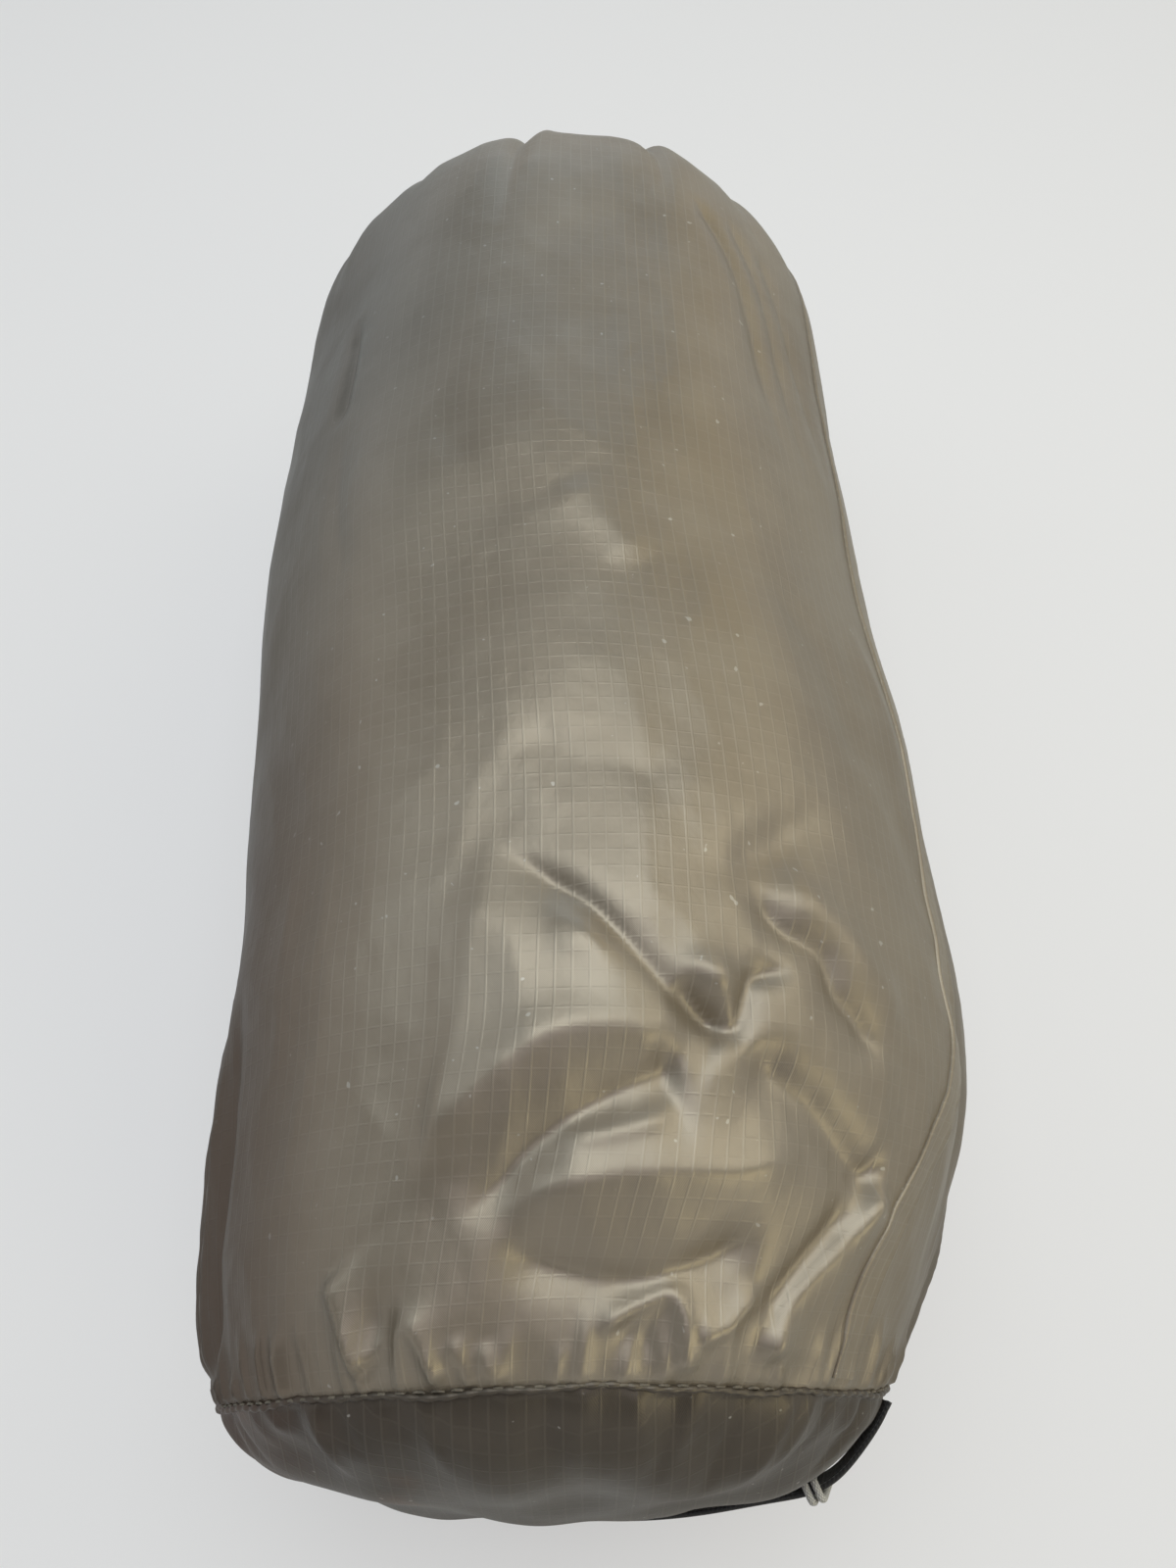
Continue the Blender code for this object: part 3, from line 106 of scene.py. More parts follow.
# Handle, as in the solids
WEBBING_WIDTH = 0.0150
WEBBING_THICKNESS = 0.0014
HANDLE_TILT = math.radians(30.5)
HANDLE_OFFSET = 0.0235
HANDLE_GAP = 0.0005
HANDLE_SLACK = 0.0016
HANDLE_START = math.radians(8)
HANDLE_FREE = math.radians(33)   # where the strap comes free of the base
BULGE_PLACE = math.radians(40)
BULGE_SPREAD = math.radians(12)
HITCH_PLACE = math.radians(43)
HITCH_CORD = 0.0012
HITCH_PITCH = 0.0019
HITCH_TURNS = 2
HITCH_POWER = 8.0
HITCH_SWELL = 1.12           # a little thicker than its solid

# Mouth hem, drawcord and cord lock, as in the solids; y is measured from the base seam
GAP = 0.0003
HEM_RADIUS = 0.0085
HEM_THICKNESS = 0.0100
HEM_LOBE = 0.14
PLEATS = 14
PLEAT_CREST = math.radians(111.4)
CORD_DIAMETER = 0.0025
STRAND_SPACING = 0.0031
KNOT_RADIUS = 0.0034
KNOT_WAVE = 0.0017
HEM_HALF = HEM_THICKNESS / 2 * (1 + HEM_LOBE)
HEM_Y = SACK_LENGTH + HEM_HALF + GAP
STRAND_Z = AXIS_HEIGHT - HEM_RADIUS
LOCK_RADIUS = 0.0070
SPRING_TURNS = 4.5
SPRING_WIRE = 0.0005
LOCK_SLIDE = 0.0080
LOCK_Y = HEM_Y + HEM_HALF + GAP + LOCK_RADIUS
KNOT_DEPTH = KNOT_WAVE + CORD_DIAMETER / 2
KNOT_Y = LOCK_Y + LOCK_RADIUS + LOCK_SLIDE + GAP + KNOT_DEPTH

# Rolls and bags inside, as in the solids; a bag is its two ends, half sizes, power and height
CORE_X = -0.0035
CORE_OVAL = (0.0206, 0.0319, 6.0)
INNER_ROLL_RADIUS = 0.0500
INNER_ROLL_FLATNESS = 0.95
INNER_ROLL_ENDS = (-0.0020, CAP_START + 0.0327)
FLY_ENDS = (0.0060, CAP_START + 0.0267)
ROLL_TURNS = 3
ROLL_FILL = 0.88
BAG_WALL = 0.0005
BAG_HEM = 0.00004            # how far the hem stands out
BAG_HEM_PLACES = np.array((0.0140, 0.0138, 0.0134, 0.0010, 0.0))   # from the open end
BAG_CLOSE = 0.0020           # the length over which the closed end rounds
POLE_BAG = (-0.0105, 0.3030, 0.0200, 0.0182, 5.0, 0.08315)
STAKE_BAG = (-0.0090, 0.2960, 0.0182, 0.0130, 4.0, 0.0517)

# Cords inside, as in the solids; a pole is its sections' places, in tube spacings and rows
TUBE_PITCH = 0.0091
ROW_PITCH = TUBE_PITCH * math.sqrt(3) / 2
SECTION_ENDS = (0.0150, SACK_LENGTH - 0.0408)
SHOCK_CORD_START = 0.0293
SHOCK_CORD_BEND = 0.0180
SHOCK_CORD_DIAMETER = 0.0024
POLES = {"left_leg": ((-0.5, 2), (-1.5, 2), (-1.0, 3), (0.0, 3)),
         "right_leg": ((0.5, 2), (1.0, 3), (1.5, 2), (1.0, 1)),
         "spine": ((0.0, 1), (-1.0, 1), (-1.5, 0), (-0.5, 0), (0.5, 0), (1.5, 0))}
CORD_EASE = 0.99             # drawn a little thinner than its solid
HANK_EASE = 0.97
HANK_CENTRE = (CORE_X, 0.2130, 0.0450)
HANK_LENGTH = 0.0860
HANK_THICKNESS = 0.0090
HANK_LOOPS = 8
HANK_PITCH = 0.0028
GUY_LINE_DIAMETER = 0.0022

# Where the solids are
seam_low, seam_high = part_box("base_seam")
SEAM_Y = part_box("sack_base")[0].y + DOME_DEPTH
SIDEWAYS = (seam_low.x + seam_high.x) / 2 - SEAM_LEAN

# The camera: a phone held over the base, looking down along the sack
CAMERA_HEIGHT = 0.3114
CAMERA_BEHIND_SEAM = 0.0018
CAMERA_TILT = math.radians(60.6)
LENS_MM = 26.0
SENSOR_MM = 36.0

# Brightness of the room: as reflected, as shown to the camera, and as it lights matt surfaces
WALL = 0.72
CEILING = 0.12
WALL_EDGE = (0.18, 0.60)     # heights of the directions where walls end and ceiling starts
SHOWN = 0.94
FILL = 0.06
NEAR_GLOW = 0.5              # share of SHOWN in the floor near the sack
FLOOR_COLOUR = (0.78, 0.78, 0.78, 1)
FLOOR_REACH = 6
FLOOR_FADE = (0.55, 1.7)

# Cloth
AROUND = 540
ROW_LENGTH = 0.0009
MM_PER_DEGREE = math.radians(1) * SACK_RADIUS / MM
RIPSTOP_ACROSS_MM = 2.7
RIPSTOP_ALONG_MM = 2.95
THREADS_AROUND = round(360 * MM_PER_DEGREE / RIPSTOP_ACROSS_MM)
BASE_COLUMNS = 360
BASE_ROWS = 110
BASE_PUCKERS = 60
CHANCE = np.random.default_rng(7)


# Small helpers

def ease(value):
    value = np.clip(value, 0.0, 1.0)
    return value * value * (3 - 2 * value)


def bump(value):
    """1 at 0, falling smoothly, like a bell."""
    return np.exp(-value * value)


def add_item(name, data):
    item = bpy.data.objects.new(name, data)
    bpy.context.scene.collection.objects.link(item)
    return item


def make_object(name, vertices, faces, uv=None):
    """A smooth mesh object; uv has one pair for each corner of each face."""
    mesh = bpy.data.meshes.new(name)
    faces = faces if isinstance(faces, list) else faces.tolist()
    mesh.from_pydata(np.asarray(vertices).reshape(-1, 3).tolist(), [], faces)
    if uv is not None:
        mesh.uv_layers.new(name="UVMap").data.foreach_set("uv", np.asarray(uv, float).reshape(-1))
    mesh.update()
    mesh.shade_smooth()
    return add_item(name, mesh)


def grid_faces(rows, columns, wrap):
    """Corner numbers of a grid's quads, and the same with unwrapped columns for its UVs."""
    index = np.arange(rows * columns).reshape(rows, columns)
    last = columns if wrap else columns - 1
    here = np.arange(last)
    after = (here + 1) % columns
    return np.stack([index[:-1][:, here], index[:-1][:, after],
                     index[1:][:, after], index[1:][:, here]], axis=-1).reshape(-1, 4)


def grid_object(name, points, wrap=True, u=None, v=None, flip=False):
    """A mesh through a grid of points, rows by columns; u has one value more when it wraps."""
    faces = grid_faces(*points.shape[:2], wrap)
    uv = None
    if u is not None:
        chart = np.stack(np.broadcast_arrays(u, v[:, None]), axis=-1)
        uv = np.stack([chart[:-1, :-1], chart[:-1, 1:], chart[1:, 1:], chart[1:, :-1]], axis=-2)
    if flip:
        faces = faces[:, ::-1]
        uv = None if uv is None else uv[:, :, ::-1]
    return make_object(name, points, faces, uv)


def travelled(*points):
    """How far along a path each of its points lies; it takes its points, or their coordinates."""
    points = points[0] if len(points) == 1 else np.stack(points, axis=-1)
    return np.concatenate([[0], np.cumsum(np.linalg.norm(np.diff(points, axis=0), axis=1))])


def spline(points, count):
    """Points evenly spread along a smooth curve through the given ones."""
    points = np.asarray(points, float)
    ends = np.vstack([2 * points[0] - points[1], points, 2 * points[-1] - points[-2]])
    pieces = []
    t = np.linspace(0, 1, 12, endpoint=False)[:, None]
    for a, b, c, d in zip(ends, ends[1:], ends[2:], ends[3:]):
        pieces.append(0.5 * (2 * b + (c - a) * t + (2 * a - 5 * b + 4 * c - d) * t ** 2
                             + (3 * b - a - 3 * c + d) * t ** 3))
    fine = np.vstack(pieces + [points[-1:]])
    length = travelled(fine)
    even = np.linspace(0, length[-1], count)
    return np.stack([np.interp(even, length, fine[:, k]) for k in range(fine.shape[1])], axis=-1)


def scaled(values, share):
    return tuple(value * share for value in values)


def unit(vectors):
    return vectors / np.linalg.norm(vectors, axis=-1, keepdims=True)


def oval(angle, half_width, half_height, power):
    """An outline between an ellipse, at power 2, and a rectangle."""
    cosine, sine = np.cos(angle), np.sin(angle)
    return (half_width * np.sign(cosine) * np.abs(cosine) ** (2 / power),
            half_height * np.sign(sine) * np.abs(sine) ** (2 / power))


def tube(name, points, radius, sides=12, closed=False, u_scale=1.0):
    """A round tube along points, with its UVs in metres."""
    points = np.asarray(points, float)
    if closed:
        ahead = np.roll(points, -1, axis=0) - np.roll(points, 1, axis=0)
    else:
        ahead = np.gradient(points, axis=0)
    ahead = unit(ahead)
    side = np.zeros_like(points)
    start = np.cross(ahead[0], (0.0, 0.0, 1.0))
    if np.linalg.norm(start) < 0.1:
        start = np.cross(ahead[0], (0.0, 1.0, 0.0))
    side[0] = unit(start)
    for i in range(1, len(points)):
        side[i] = unit(side[i - 1] - ahead[i] * np.dot(side[i - 1], ahead[i]))
    up = np.cross(ahead, side)
    angle = math.tau * np.arange(sides) / sides
    reach = np.broadcast_to(np.asarray(radius, float), (len(points),))[:, None, None]
    ring = (points[:, None] + reach * (side[:, None] * np.cos(angle)[None, :, None]
                                       + up[:, None] * np.sin(angle)[None, :, None]))
    if closed:
        ring = np.concatenate([ring, ring[:1]])
    else:
        ring = np.concatenate([np.repeat(points[:1, None], sides, axis=1), ring,
                               np.repeat(points[-1:, None], sides, axis=1)])
    u = np.arange(sides + 1) / sides * u_scale
    return grid_object(name, ring, True, u, travelled(ring.mean(axis=1)))


def stitch_row(name, centres, ahead, outward, length, width):
    """A row of stitches, each a short thread that dips into the cloth at both ends."""
    sides = 6
    along = np.array([-0.5, -0.44, -0.22, 0.0, 0.22, 0.44, 0.5]) * length
    swell = np.array([0.35, 0.8, 1.0, 1.0, 1.0, 0.8, 0.35]) * width / 2
    dip = -np.abs(along / length * 2) ** 3 * width * 0.6
    angle = math.tau * np.arange(sides) / sides
    across = np.cross(ahead, outward)
    ring = (centres[:, None, None] + ahead[:, None, None] * along[None, :, None, None]
            + outward[:, None, None] * (dip[None, :, None, None]
                                        + (swell[:, None] * np.sin(angle))[None, :, :, None])
            + across[:, None, None] * (swell[:, None] * np.cos(angle))[None, :, :, None])
    one = grid_faces(len(along), sides, True)[:, ::-1]
    caps = [list(range(sides)), list(range((len(along) - 1) * sides, len(along) * sides))[::-1]]
    faces = []
    for number in range(len(centres)):
        shift = number * len(along) * sides
        faces += (one + shift).tolist()
        faces += [[corner + shift for corner in cap] for cap in caps]
    return make_object(name, ring, faces)


def finish_piece(item, paint, node=None, body="sack"):
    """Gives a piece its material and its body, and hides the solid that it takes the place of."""
    item.data.materials.append(paint)
    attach(item, body)
    if node:
        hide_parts(node)


# Folds in cloth that lies on a flat chart, in millimetres: across, along

class Relief:
    """Heights over a chart whose first axis may wrap round."""

    def __init__(self, across, along, around=None):
        self.across = across
        self.along = along
        self.around = around
        self.height = np.zeros((len(along), len(across)))

    def window(self, centre, reach_across, low, high):
        """Columns and rows near a place, with the columns' distance from its centre."""
        offset = self.across - centre
        if self.around:
            offset = (offset + self.around / 2) % self.around - self.around / 2
        columns = np.nonzero(np.abs(offset) < reach_across)[0]
        rows = np.nonzero((self.along > low) & (self.along < high))[0]
        return columns, rows, offset[columns]

    def fold(self, points, height, left, right=None, power=1.6, fade=(0.25, 0.25)):
        """A ridge, or a valley where the height is below 0, along a curve.

        Left and right are its widths on either side of the curve; power 1 makes a sharp
        crest, and fade is the share of its length over which each end dies away.
        """
        right = left if right is None else right
        path = spline(points, 26)
        centre = (path[:, 0].min() + path[:, 0].max()) / 2
        margin = 2.6 * max(left, right)
        half = np.ptp(path[:, 0]) / 2 + margin
        columns, rows, offset = self.window(centre, half, path[:, 1].min() - margin,
                                            path[:, 1].max() + margin)
        if len(columns) == 0 or len(rows) == 0:
            return
        x = np.broadcast_to(offset[None, :], (len(rows), len(columns)))
        y = np.broadcast_to(self.along[rows][:, None], x.shape)
        best = np.full(x.shape, 1e9)
        signed = np.zeros(x.shape)
        place = np.zeros(x.shape)
        flat = path - (centre, 0)
        count = len(path) - 1
        for i in range(count):
            (ax, ay), (bx, by) = flat[i], flat[i + 1]
            dx, dy = bx - ax, by - ay
            size = dx * dx + dy * dy
            t = np.clip(((x - ax) * dx + (y - ay) * dy) / size, 0, 1)
            gap = np.hypot(x - ax - t * dx, y - ay - t * dy)
            side = np.sign(dx * (y - ay) - dy * (x - ax))
            nearer = gap < best
            best = np.where(nearer, gap, best)
            signed = np.where(nearer, side, signed)
            place = np.where(nearer, (i + t) / count, place)
        width = np.where(signed > 0, left, right)
        body = np.exp(-(best / width) ** power)
        for share, run in zip((place, 1 - place), fade):
            body = body * ease(share / run if run else 1.0)
        self.height[np.ix_(rows, columns)] += height * body

    def mound(self, centre, height, long, short, turn=0.0, power=2.0):
        """A soft mound, or a dent where the height is below 0; turn is in degrees."""
        reach = 2.4 * max(long, short)
        columns, rows, offset = self.window(centre[0], reach, centre[1] - reach, centre[1] + reach)
        if len(columns) == 0 or len(rows) == 0:
            return
        x = offset[None, :]
        y = (self.along[rows] - centre[1])[:, None]
        angle = math.radians(turn)
        p = (x * math.cos(angle) + y * math.sin(angle)) / long
        q = (-x * math.sin(angle) + y * math.cos(angle)) / short
        self.height[np.ix_(rows, columns)] += height * np.exp(-np.hypot(p, q) ** power)

    def waves(self, wavelength, stretch, count=18):
        """An even random field of about unit size; stretch draws it out along the chart."""
        field = np.zeros_like(self.height)
        turn = math.tau / (self.around or 1e9)
        for _ in range(count):
            angle = CHANCE.uniform(0, math.tau)
            pitch = wavelength * CHANCE.uniform(0.7, 1.5)
            across = math.tau / pitch * math.cos(angle)
            if self.around:
                across = round(across / turn) * turn
            along = math.tau / (pitch * stretch) * math.sin(angle)
            shift = CHANCE.uniform(0, math.tau)
            field += np.cos(across * self.across[None, :] + along * self.along[:, None] + shift)
        return field * math.sqrt(2 / count)


class ClothRelief(Relief):
    """Folds on the sack's cloth, at places given as (degrees round the sack, millimetres along)."""

    def __init__(self):
        super().__init__(np.arange(AROUND) * 360.0 / AROUND * MM_PER_DEGREE, PROFILE[0] / MM,
                         360.0 * MM_PER_DEGREE)

    def fold(self, places, *shape):
        super().fold([(degrees * MM_PER_DEGREE, along) for degrees, along in places], *shape)

    def mound(self, place, *shape):
        super().mound((place[0] * MM_PER_DEGREE, place[1]), *shape)


# Shape of the sack

def sack_lean(y):
    lean = SEAM_LEAN + (MIDDLE_LEAN - SEAM_LEAN) * ease(y / LEAN_RUN)
    return lean + (MOUTH_LEAN - MIDDLE_LEAN) * ease((y - MOUTH_LEAN_START) / MOUTH_LEAN_RUN)


def apart(first, second):
    """Degrees from the second to the first, at most half a turn."""
    return (first - second + 180) % 360 - 180


def seam_shift(degrees):
    """How far up the tube the base seam lies, round the sack."""
    return sum(far * bump(apart(degrees, at) / spread) for far, at, spread in SEAM_SHIFTS)


def dome_rise(radius):
    """How far the base stands out at a radius from its middle."""
    share = np.clip(radius / SEAM_RADIUS, 0, 1)
    return DOME_DEPTH * (1 - share ** DOME_POWER) ** (1 / DOME_POWER)


def base_shift(across, up):
    """The seam's shift at a place on the base, most at its edge."""
    share = np.clip(np.hypot(across, up) / SEAM_RADIUS, 0, 1)
    return seam_shift(np.degrees(np.arctan2(up, across))) * share ** SEAM_SHIFT_POWER


def taper(y):
    return np.clip(1 - y / TAPER_LENGTH, 0, 1) ** 2


def sack_profile():
    """Even steps along the cloth: its length, place, radius, axis height and outward direction."""
    tube_part = np.linspace(0.0, CAP_START, 400, endpoint=False)
    last = math.acos((NECK_RADIUS / MOUTH_RADIUS) ** (MOUTH_POWER / 2))
    turn = np.linspace(0.0, last, 400)
    y = np.concatenate([tube_part, CAP_START + MOUTH_LENGTH * np.sin(turn) ** (2 / MOUTH_POWER)])
    narrowing = ease((tube_part - CAP_START + NARROWING_RUN) / NARROWING_RUN)
    tube_radius = (SACK_RADIUS - (SACK_RADIUS - SEAM_RADIUS) * taper(tube_part)
                   - (SACK_RADIUS - MOUTH_RADIUS) * narrowing)
    radius = np.concatenate([tube_radius, MOUTH_RADIUS * np.cos(turn) ** (2 / MOUTH_POWER)])
    length = travelled(y, radius)
    even = np.linspace(0.0, length[-1], int(length[-1] / ROW_LENGTH) + 1)
    y = np.interp(even, length, y)
    radius = np.interp(even, length, radius)
    height = AXIS_HEIGHT - (AXIS_HEIGHT - SEAM_AXIS_HEIGHT) * taper(y)
    along = np.gradient(y, even)
    inwards = np.gradient(radius, even)
    size = np.hypot(along, inwards)
    return even, y, radius, height, along / size, -inwards / size


PROFILE = sack_profile()
CLOTH_LENGTH_MM = PROFILE[0][-1] / MM


def sack_point(degrees, along_mm, sink_mm, floor=0.0):
    """World places on the sack's cloth, raised by sink and never under the floor."""
    even, y, radius, height, out_radial, out_along = PROFILE
    s = along_mm * MM
    angle = np.radians(degrees)
    sink = sink_mm * MM
    here = np.interp(s, even, y)
    reach = np.interp(s, even, radius) + sink * np.interp(s, even, out_radial)
    x = SIDEWAYS + sack_lean(here) + reach * np.cos(angle)
    z = np.interp(s, even, height) + reach * np.sin(angle)
    shift = seam_shift(degrees) * np.exp(-here / SEAM_SHIFT_RUN)
    place = SEAM_Y + here + shift + sink * np.interp(s, even, out_along) + 0 * angle
    soft = 0.0012
    z = floor + (z - floor + np.sqrt((z - floor) ** 2 + soft * soft)) / 2
    return np.stack(np.broadcast_arrays(x, place, z), axis=-1)


# Folds of the sack

def add_crumple(cloth):
    """What the roll inside gives the whole cloth: soft hollows and a fine crumple."""
    along = cloth.along[:, None]
    calm = ease(along / 40) * (1 - ease((along - CLOTH_LENGTH_MM + 60) / 50))
    cloth.height += 0.42 * cloth.waves(46, 1.5) * calm
    crumple = -np.abs(cloth.waves(19, 1.5)) * 0.15 - np.abs(cloth.waves(7.5, 1.3)) * 0.035
    cloth.height += (crumple + 0.15) * (0.6 + 0.6 * bump((along - 45) / 40))


def add_main_folds(fold, mound):
    """The folds that the photo shows near the base, by their height and widths in millimetres."""
    # The raised triangle left of the middle
    fold(((102.5, 88), (105, 62), (107.5, 40), (110, 27)), 1.6, 4.5, 16, 1.4, (0.35, 0.3))
    mound((108.5, 11), 1.7, 13, 9, 0)
    mound((66, 7), 0.9, 14, 8, 0)
    # The long fold from its top to the right
    fold(((103, 84), (96, 77), (89.5, 70.5), (80, 57), (72.5, 53)), -2.2, 5.5, 2.3, 1.2,
         (0.3, 0.08))
    fold(((96, 72), (86, 61), (77, 50)), 1.3, 5, 4, 1.6)
    # The crescent and its lump
    fold(((80.3, 60), (76, 54.5), (72.5, 53), (70, 61.5), (64, 63)), -1.9, 2.4, 2.0, 1.2,
         (0.1, 0.2))
    mound((75.6, 60.5), 2.0, 5.0, 3.6, 20)
    # The upper right fold
    fold(((70.3, 78.5), (66, 71), (60.3, 67.5), (57.5, 61), (53.8, 57), (49, 50.5)),
         -1.9, 4.2, 2.2, 1.3, (0.2, 0.2))
    fold(((66, 81), (60, 74), (53, 66), (45, 57)), 1.3, 5, 5, 1.7)
    mound((66, 85), -1.6, 12, 5, -35)
    # The broad valley that runs down to the right, and the sharp fold that it turns into
    fold(((70.8, 51.8), (66.5, 46.8), (60.5, 42.5), (52.5, 35.5), (46.5, 32.6)),
         -2.4, 5.5, 3.4, 1.6, (0.2, 0.1))
    fold(((46.0, 34), (49.5, 27), (53, 21.5), (58, 13.5), (59.5, 4)), 2.2, 1.9, 6.0, 1.25,
         (0.15, 0.12))
    fold(((50, 30), (56, 20), (62, 9)), -1.6, 3.2, 3.2, 1.6)
    # The large dark lobe
    fold(((79, 48.5), (87, 52), (95, 51), (102, 44), (108, 36), (111, 31)), 1.7, 5.5, 5.0, 1.5,
         (0.12, 0.25))
    fold(((78.5, 47.5), (89, 41.0), (95.5, 35), (99.5, 29), (104, 24)), -2.5, 4.2, 6.0, 1.35,
         (0.1, 0.25))
    fold(((93, 35.5), (85, 37.5), (78, 40.5)), 0.8, 2.2, 2.2, 1.6)
    # The second dark lobe
    fold(((100, 24), (93, 29), (82.5, 31.5), (71, 32), (60, 36)), 1.9, 5.5, 5.0, 1.5, (0.2, 0.2))
    fold(((99.5, 21.5), (91, 17.5), (80.5, 15.5), (71.5, 18.5), (62, 24.5)), -2.2, 4.6, 4.0, 1.4,
         (0.2, 0.2))


def add_shown_puckers(fold, mound):
    """The puckers along the base seam that can be told apart in the photo."""
    fold(((121, 19), (118.5, 13.5), (115, 4)), 1.9, 2.0, 5.0, 1.3, (0.2, 0.1))
    mound((112.5, 11), -1.8, 6, 4, -60)
    fold(((109, 13), (106, 8), (104, 2)), 1.2, 1.6, 2.6, 1.3, (0.3, 0.1))
    fold(((102.5, 9), (101, 5), (100, 1)), 0.9, 1.3, 1.8, 1.3, (0.3, 0.1))
    fold(((98.5, 8), (97.5, 4), (96.5, 1)), 0.8, 1.3, 1.8, 1.3, (0.3, 0.1))
    fold(((84.5, 8.5), (79, 12.5), (74.8, 14.3), (72.8, 11), (72.3, 7), (71.5, 2)),
         1.5, 1.7, 2.2, 1.3, (0.15, 0.1))
    mound((78, 7.5), -1.0, 5, 3, 10)
    fold(((71, 7.5), (66.5, 11), (62.8, 16.5)), 1.3, 1.8, 2.8, 1.3, (0.2, 0.3))


def add_flank_folds(fold):
    """Folds along the left side, and soft ones on the middle of the tube."""
    for degrees, height in ((151, -0.9), (156.5, 1.3), (161.5, -1.2), (166.5, 1.4), (173, -1.1),
                            (180, 1.0)):
        fold(((degrees - 2, 74), (degrees, 36), (degrees + 2.5, 3)), height * 1.3, 2.2, 2.8, 1.5,
             (0.35, 0.1))
    fold(((133, 238), (132.5, 215), (134, 196)), -2.0, 2.4, 3.4, 1.3)
    fold(((131, 200), (130, 170), (127, 145)), -0.9, 3.5, 6.0, 1.5)
    fold(((90.5, 163), (85, 153), (79, 142)), 0.9, 6, 5, 1.8)
    fold(((101, 106), (88, 98), (76, 95)), -0.6, 6, 6, 1.8)
    fold(((112, 188), (104, 170), (99, 150)), -0.6, 5, 6, 1.8)
    fold(((58, 150), (50, 128), (46, 104)), -0.9, 5, 7, 1.8)
    fold(((38, 150), (33, 120), (30, 90)), 0.9, 5, 5, 1.7)
    fold(((30, 84), (24, 60), (20, 30)), -1.2, 5, 4, 1.6)


def add_seam_puckers(fold):
    """Small puckers all along the seam, where the tube's fullness is eased in."""
    number = 72
    for i in range(number):
        degrees = 360 / number * (i + CHANCE.uniform(-0.36, 0.36))
        length = CHANCE.uniform(5, 16)
        lean = CHANCE.uniform(-3.2, 3.2)
        height = CHANCE.uniform(0.45, 1.15)
        width = CHANCE.uniform(0.8, 1.7)
        fold(((degrees + lean, length), (degrees + lean / 3, length / 2), (degrees, 0.5)),
             height, width, width * 1.3, 1.4, (0.5, 0.05))


def add_hidden_folds(fold):
    """Larger folds on the sides that the photo hides, from the seam and on the tube."""
    for degrees in np.arange(196, 372, 11.0):
        at = degrees + CHANCE.uniform(-3, 3)
        length = CHANCE.uniform(22, 52)
        lean = CHANCE.uniform(-8, 8)
        fold(((at + lean, length), (at + lean / 4, length / 2), (at, 1)),
             CHANCE.uniform(0.8, 1.8) * CHANCE.choice((-1, 1)), 2.4, 4.2, 1.5, (0.4, 0.08))
    for degrees in np.arange(200, 380, 15.0):
        at = degrees + CHANCE.uniform(-5, 5)
        start = CHANCE.uniform(60, 130)
        lean = CHANCE.uniform(-16, 16)
        fold(((at, start), (at + lean / 2, start + 28), (at + lean, start + 62)),
             CHANCE.uniform(0.5, 1.2) * CHANCE.choice((-1, 1)), 4.0, 6.5, 1.7, (0.4, 0.4))


def add_mouth_pleats(fold):
    """Pleats that run into the gathered mouth, each with a lesser one beside it."""
    end = CLOTH_LENGTH_MM
    gathers = (98.5, 72.5, 124.0, 51.0, 142.0, 34.0, 160.0, 15.0, 183.0, 207.0, 232.0, 256.0, 281.0,
               305.0, 330.0, 354.0)
    for degrees in gathers:
        depth = CHANCE.uniform(3.0, 4.6)
        start = end - CHANCE.uniform(88, 128)
        bend = CHANCE.uniform(-7, 7)
        width = CHANCE.uniform(3.2, 4.6)
        fold(((degrees + bend, start), (degrees + bend / 2, start + 35),
              (degrees, end - 48), (degrees, end + 12)),
             -depth, width, width * 0.75, 1.45, (0.55, 0.0))
        fold(((degrees + bend - 5, start + 8), (degrees - 4.5, end - 50),
              (degrees - 5.5, end + 12)),
             depth * 0.30, 3.2, 3.2, 1.7, (0.5, 0.0))
        between = degrees + CHANCE.uniform(9, 13)
        fold(((between, end - CHANCE.uniform(40, 66)), (between, end - 25), (between, end + 12)),
             -CHANCE.uniform(1.4, 2.4), 2.4, 2.4, 1.5, (0.5, 0.0))
    fold(((64, 269), (55, 243), (47, 178)), -1.5, 2.4, 3.6, 1.4, (0.1, 0.5))
    fold(((56, 268), (48, 240), (41, 176)), -1.1, 2.0, 3.0, 1.4, (0.1, 0.5))
    fold(((48, 264), (41, 236), (34, 186)), -1.1, 2.2, 3.2, 1.4, (0.1, 0.5))


def sack_folds():
    """The folds and puckers of the filled sack."""
    cloth = ClothRelief()
    fold, mound = cloth.fold, cloth.mound
    add_crumple(cloth)
    add_main_folds(fold, mound)
    add_shown_puckers(fold, mound)
    add_flank_folds(fold)
    add_seam_puckers(fold)
    add_hidden_folds(fold)
    add_mouth_pleats(fold)
    # The folds are strongest near the base; where the tube meets its seam, and at the neck,
    # the cloth comes back to its solid
    along = cloth.along[:, None]
    cloth.height *= 1 + 0.25 * (1 - ease((along - 95) / 30))
    cloth.height *= ease(along / 2.2) * 0.85 + 0.15
    cloth.height *= 1 - ease((along - CLOTH_LENGTH_MM + 9) / 9) * 0.9
    return cloth


FOLDS = sack_folds()


def sink_at(degrees, along_mm):
    """The folds' height at places on the sack's cloth, in millimetres."""
    column = np.asarray(degrees, float) % 360.0 / 360.0 * AROUND
    row = np.clip(np.interp(along_mm, FOLDS.along, np.arange(len(FOLDS.along))), 0,
                  len(FOLDS.along) - 1.001)
    c0 = np.floor(column).astype(int) % AROUND
    r0 = np.floor(row).astype(int)
    c = column - np.floor(column)
    r = row - r0
    c1 = (c0 + 1) % AROUND
    h = FOLDS.height
    return ((1 - r) * ((1 - c) * h[r0, c0] + c * h[r0, c1])
            + r * ((1 - c) * h[r0 + 1, c0] + c * h[r0 + 1, c1]))


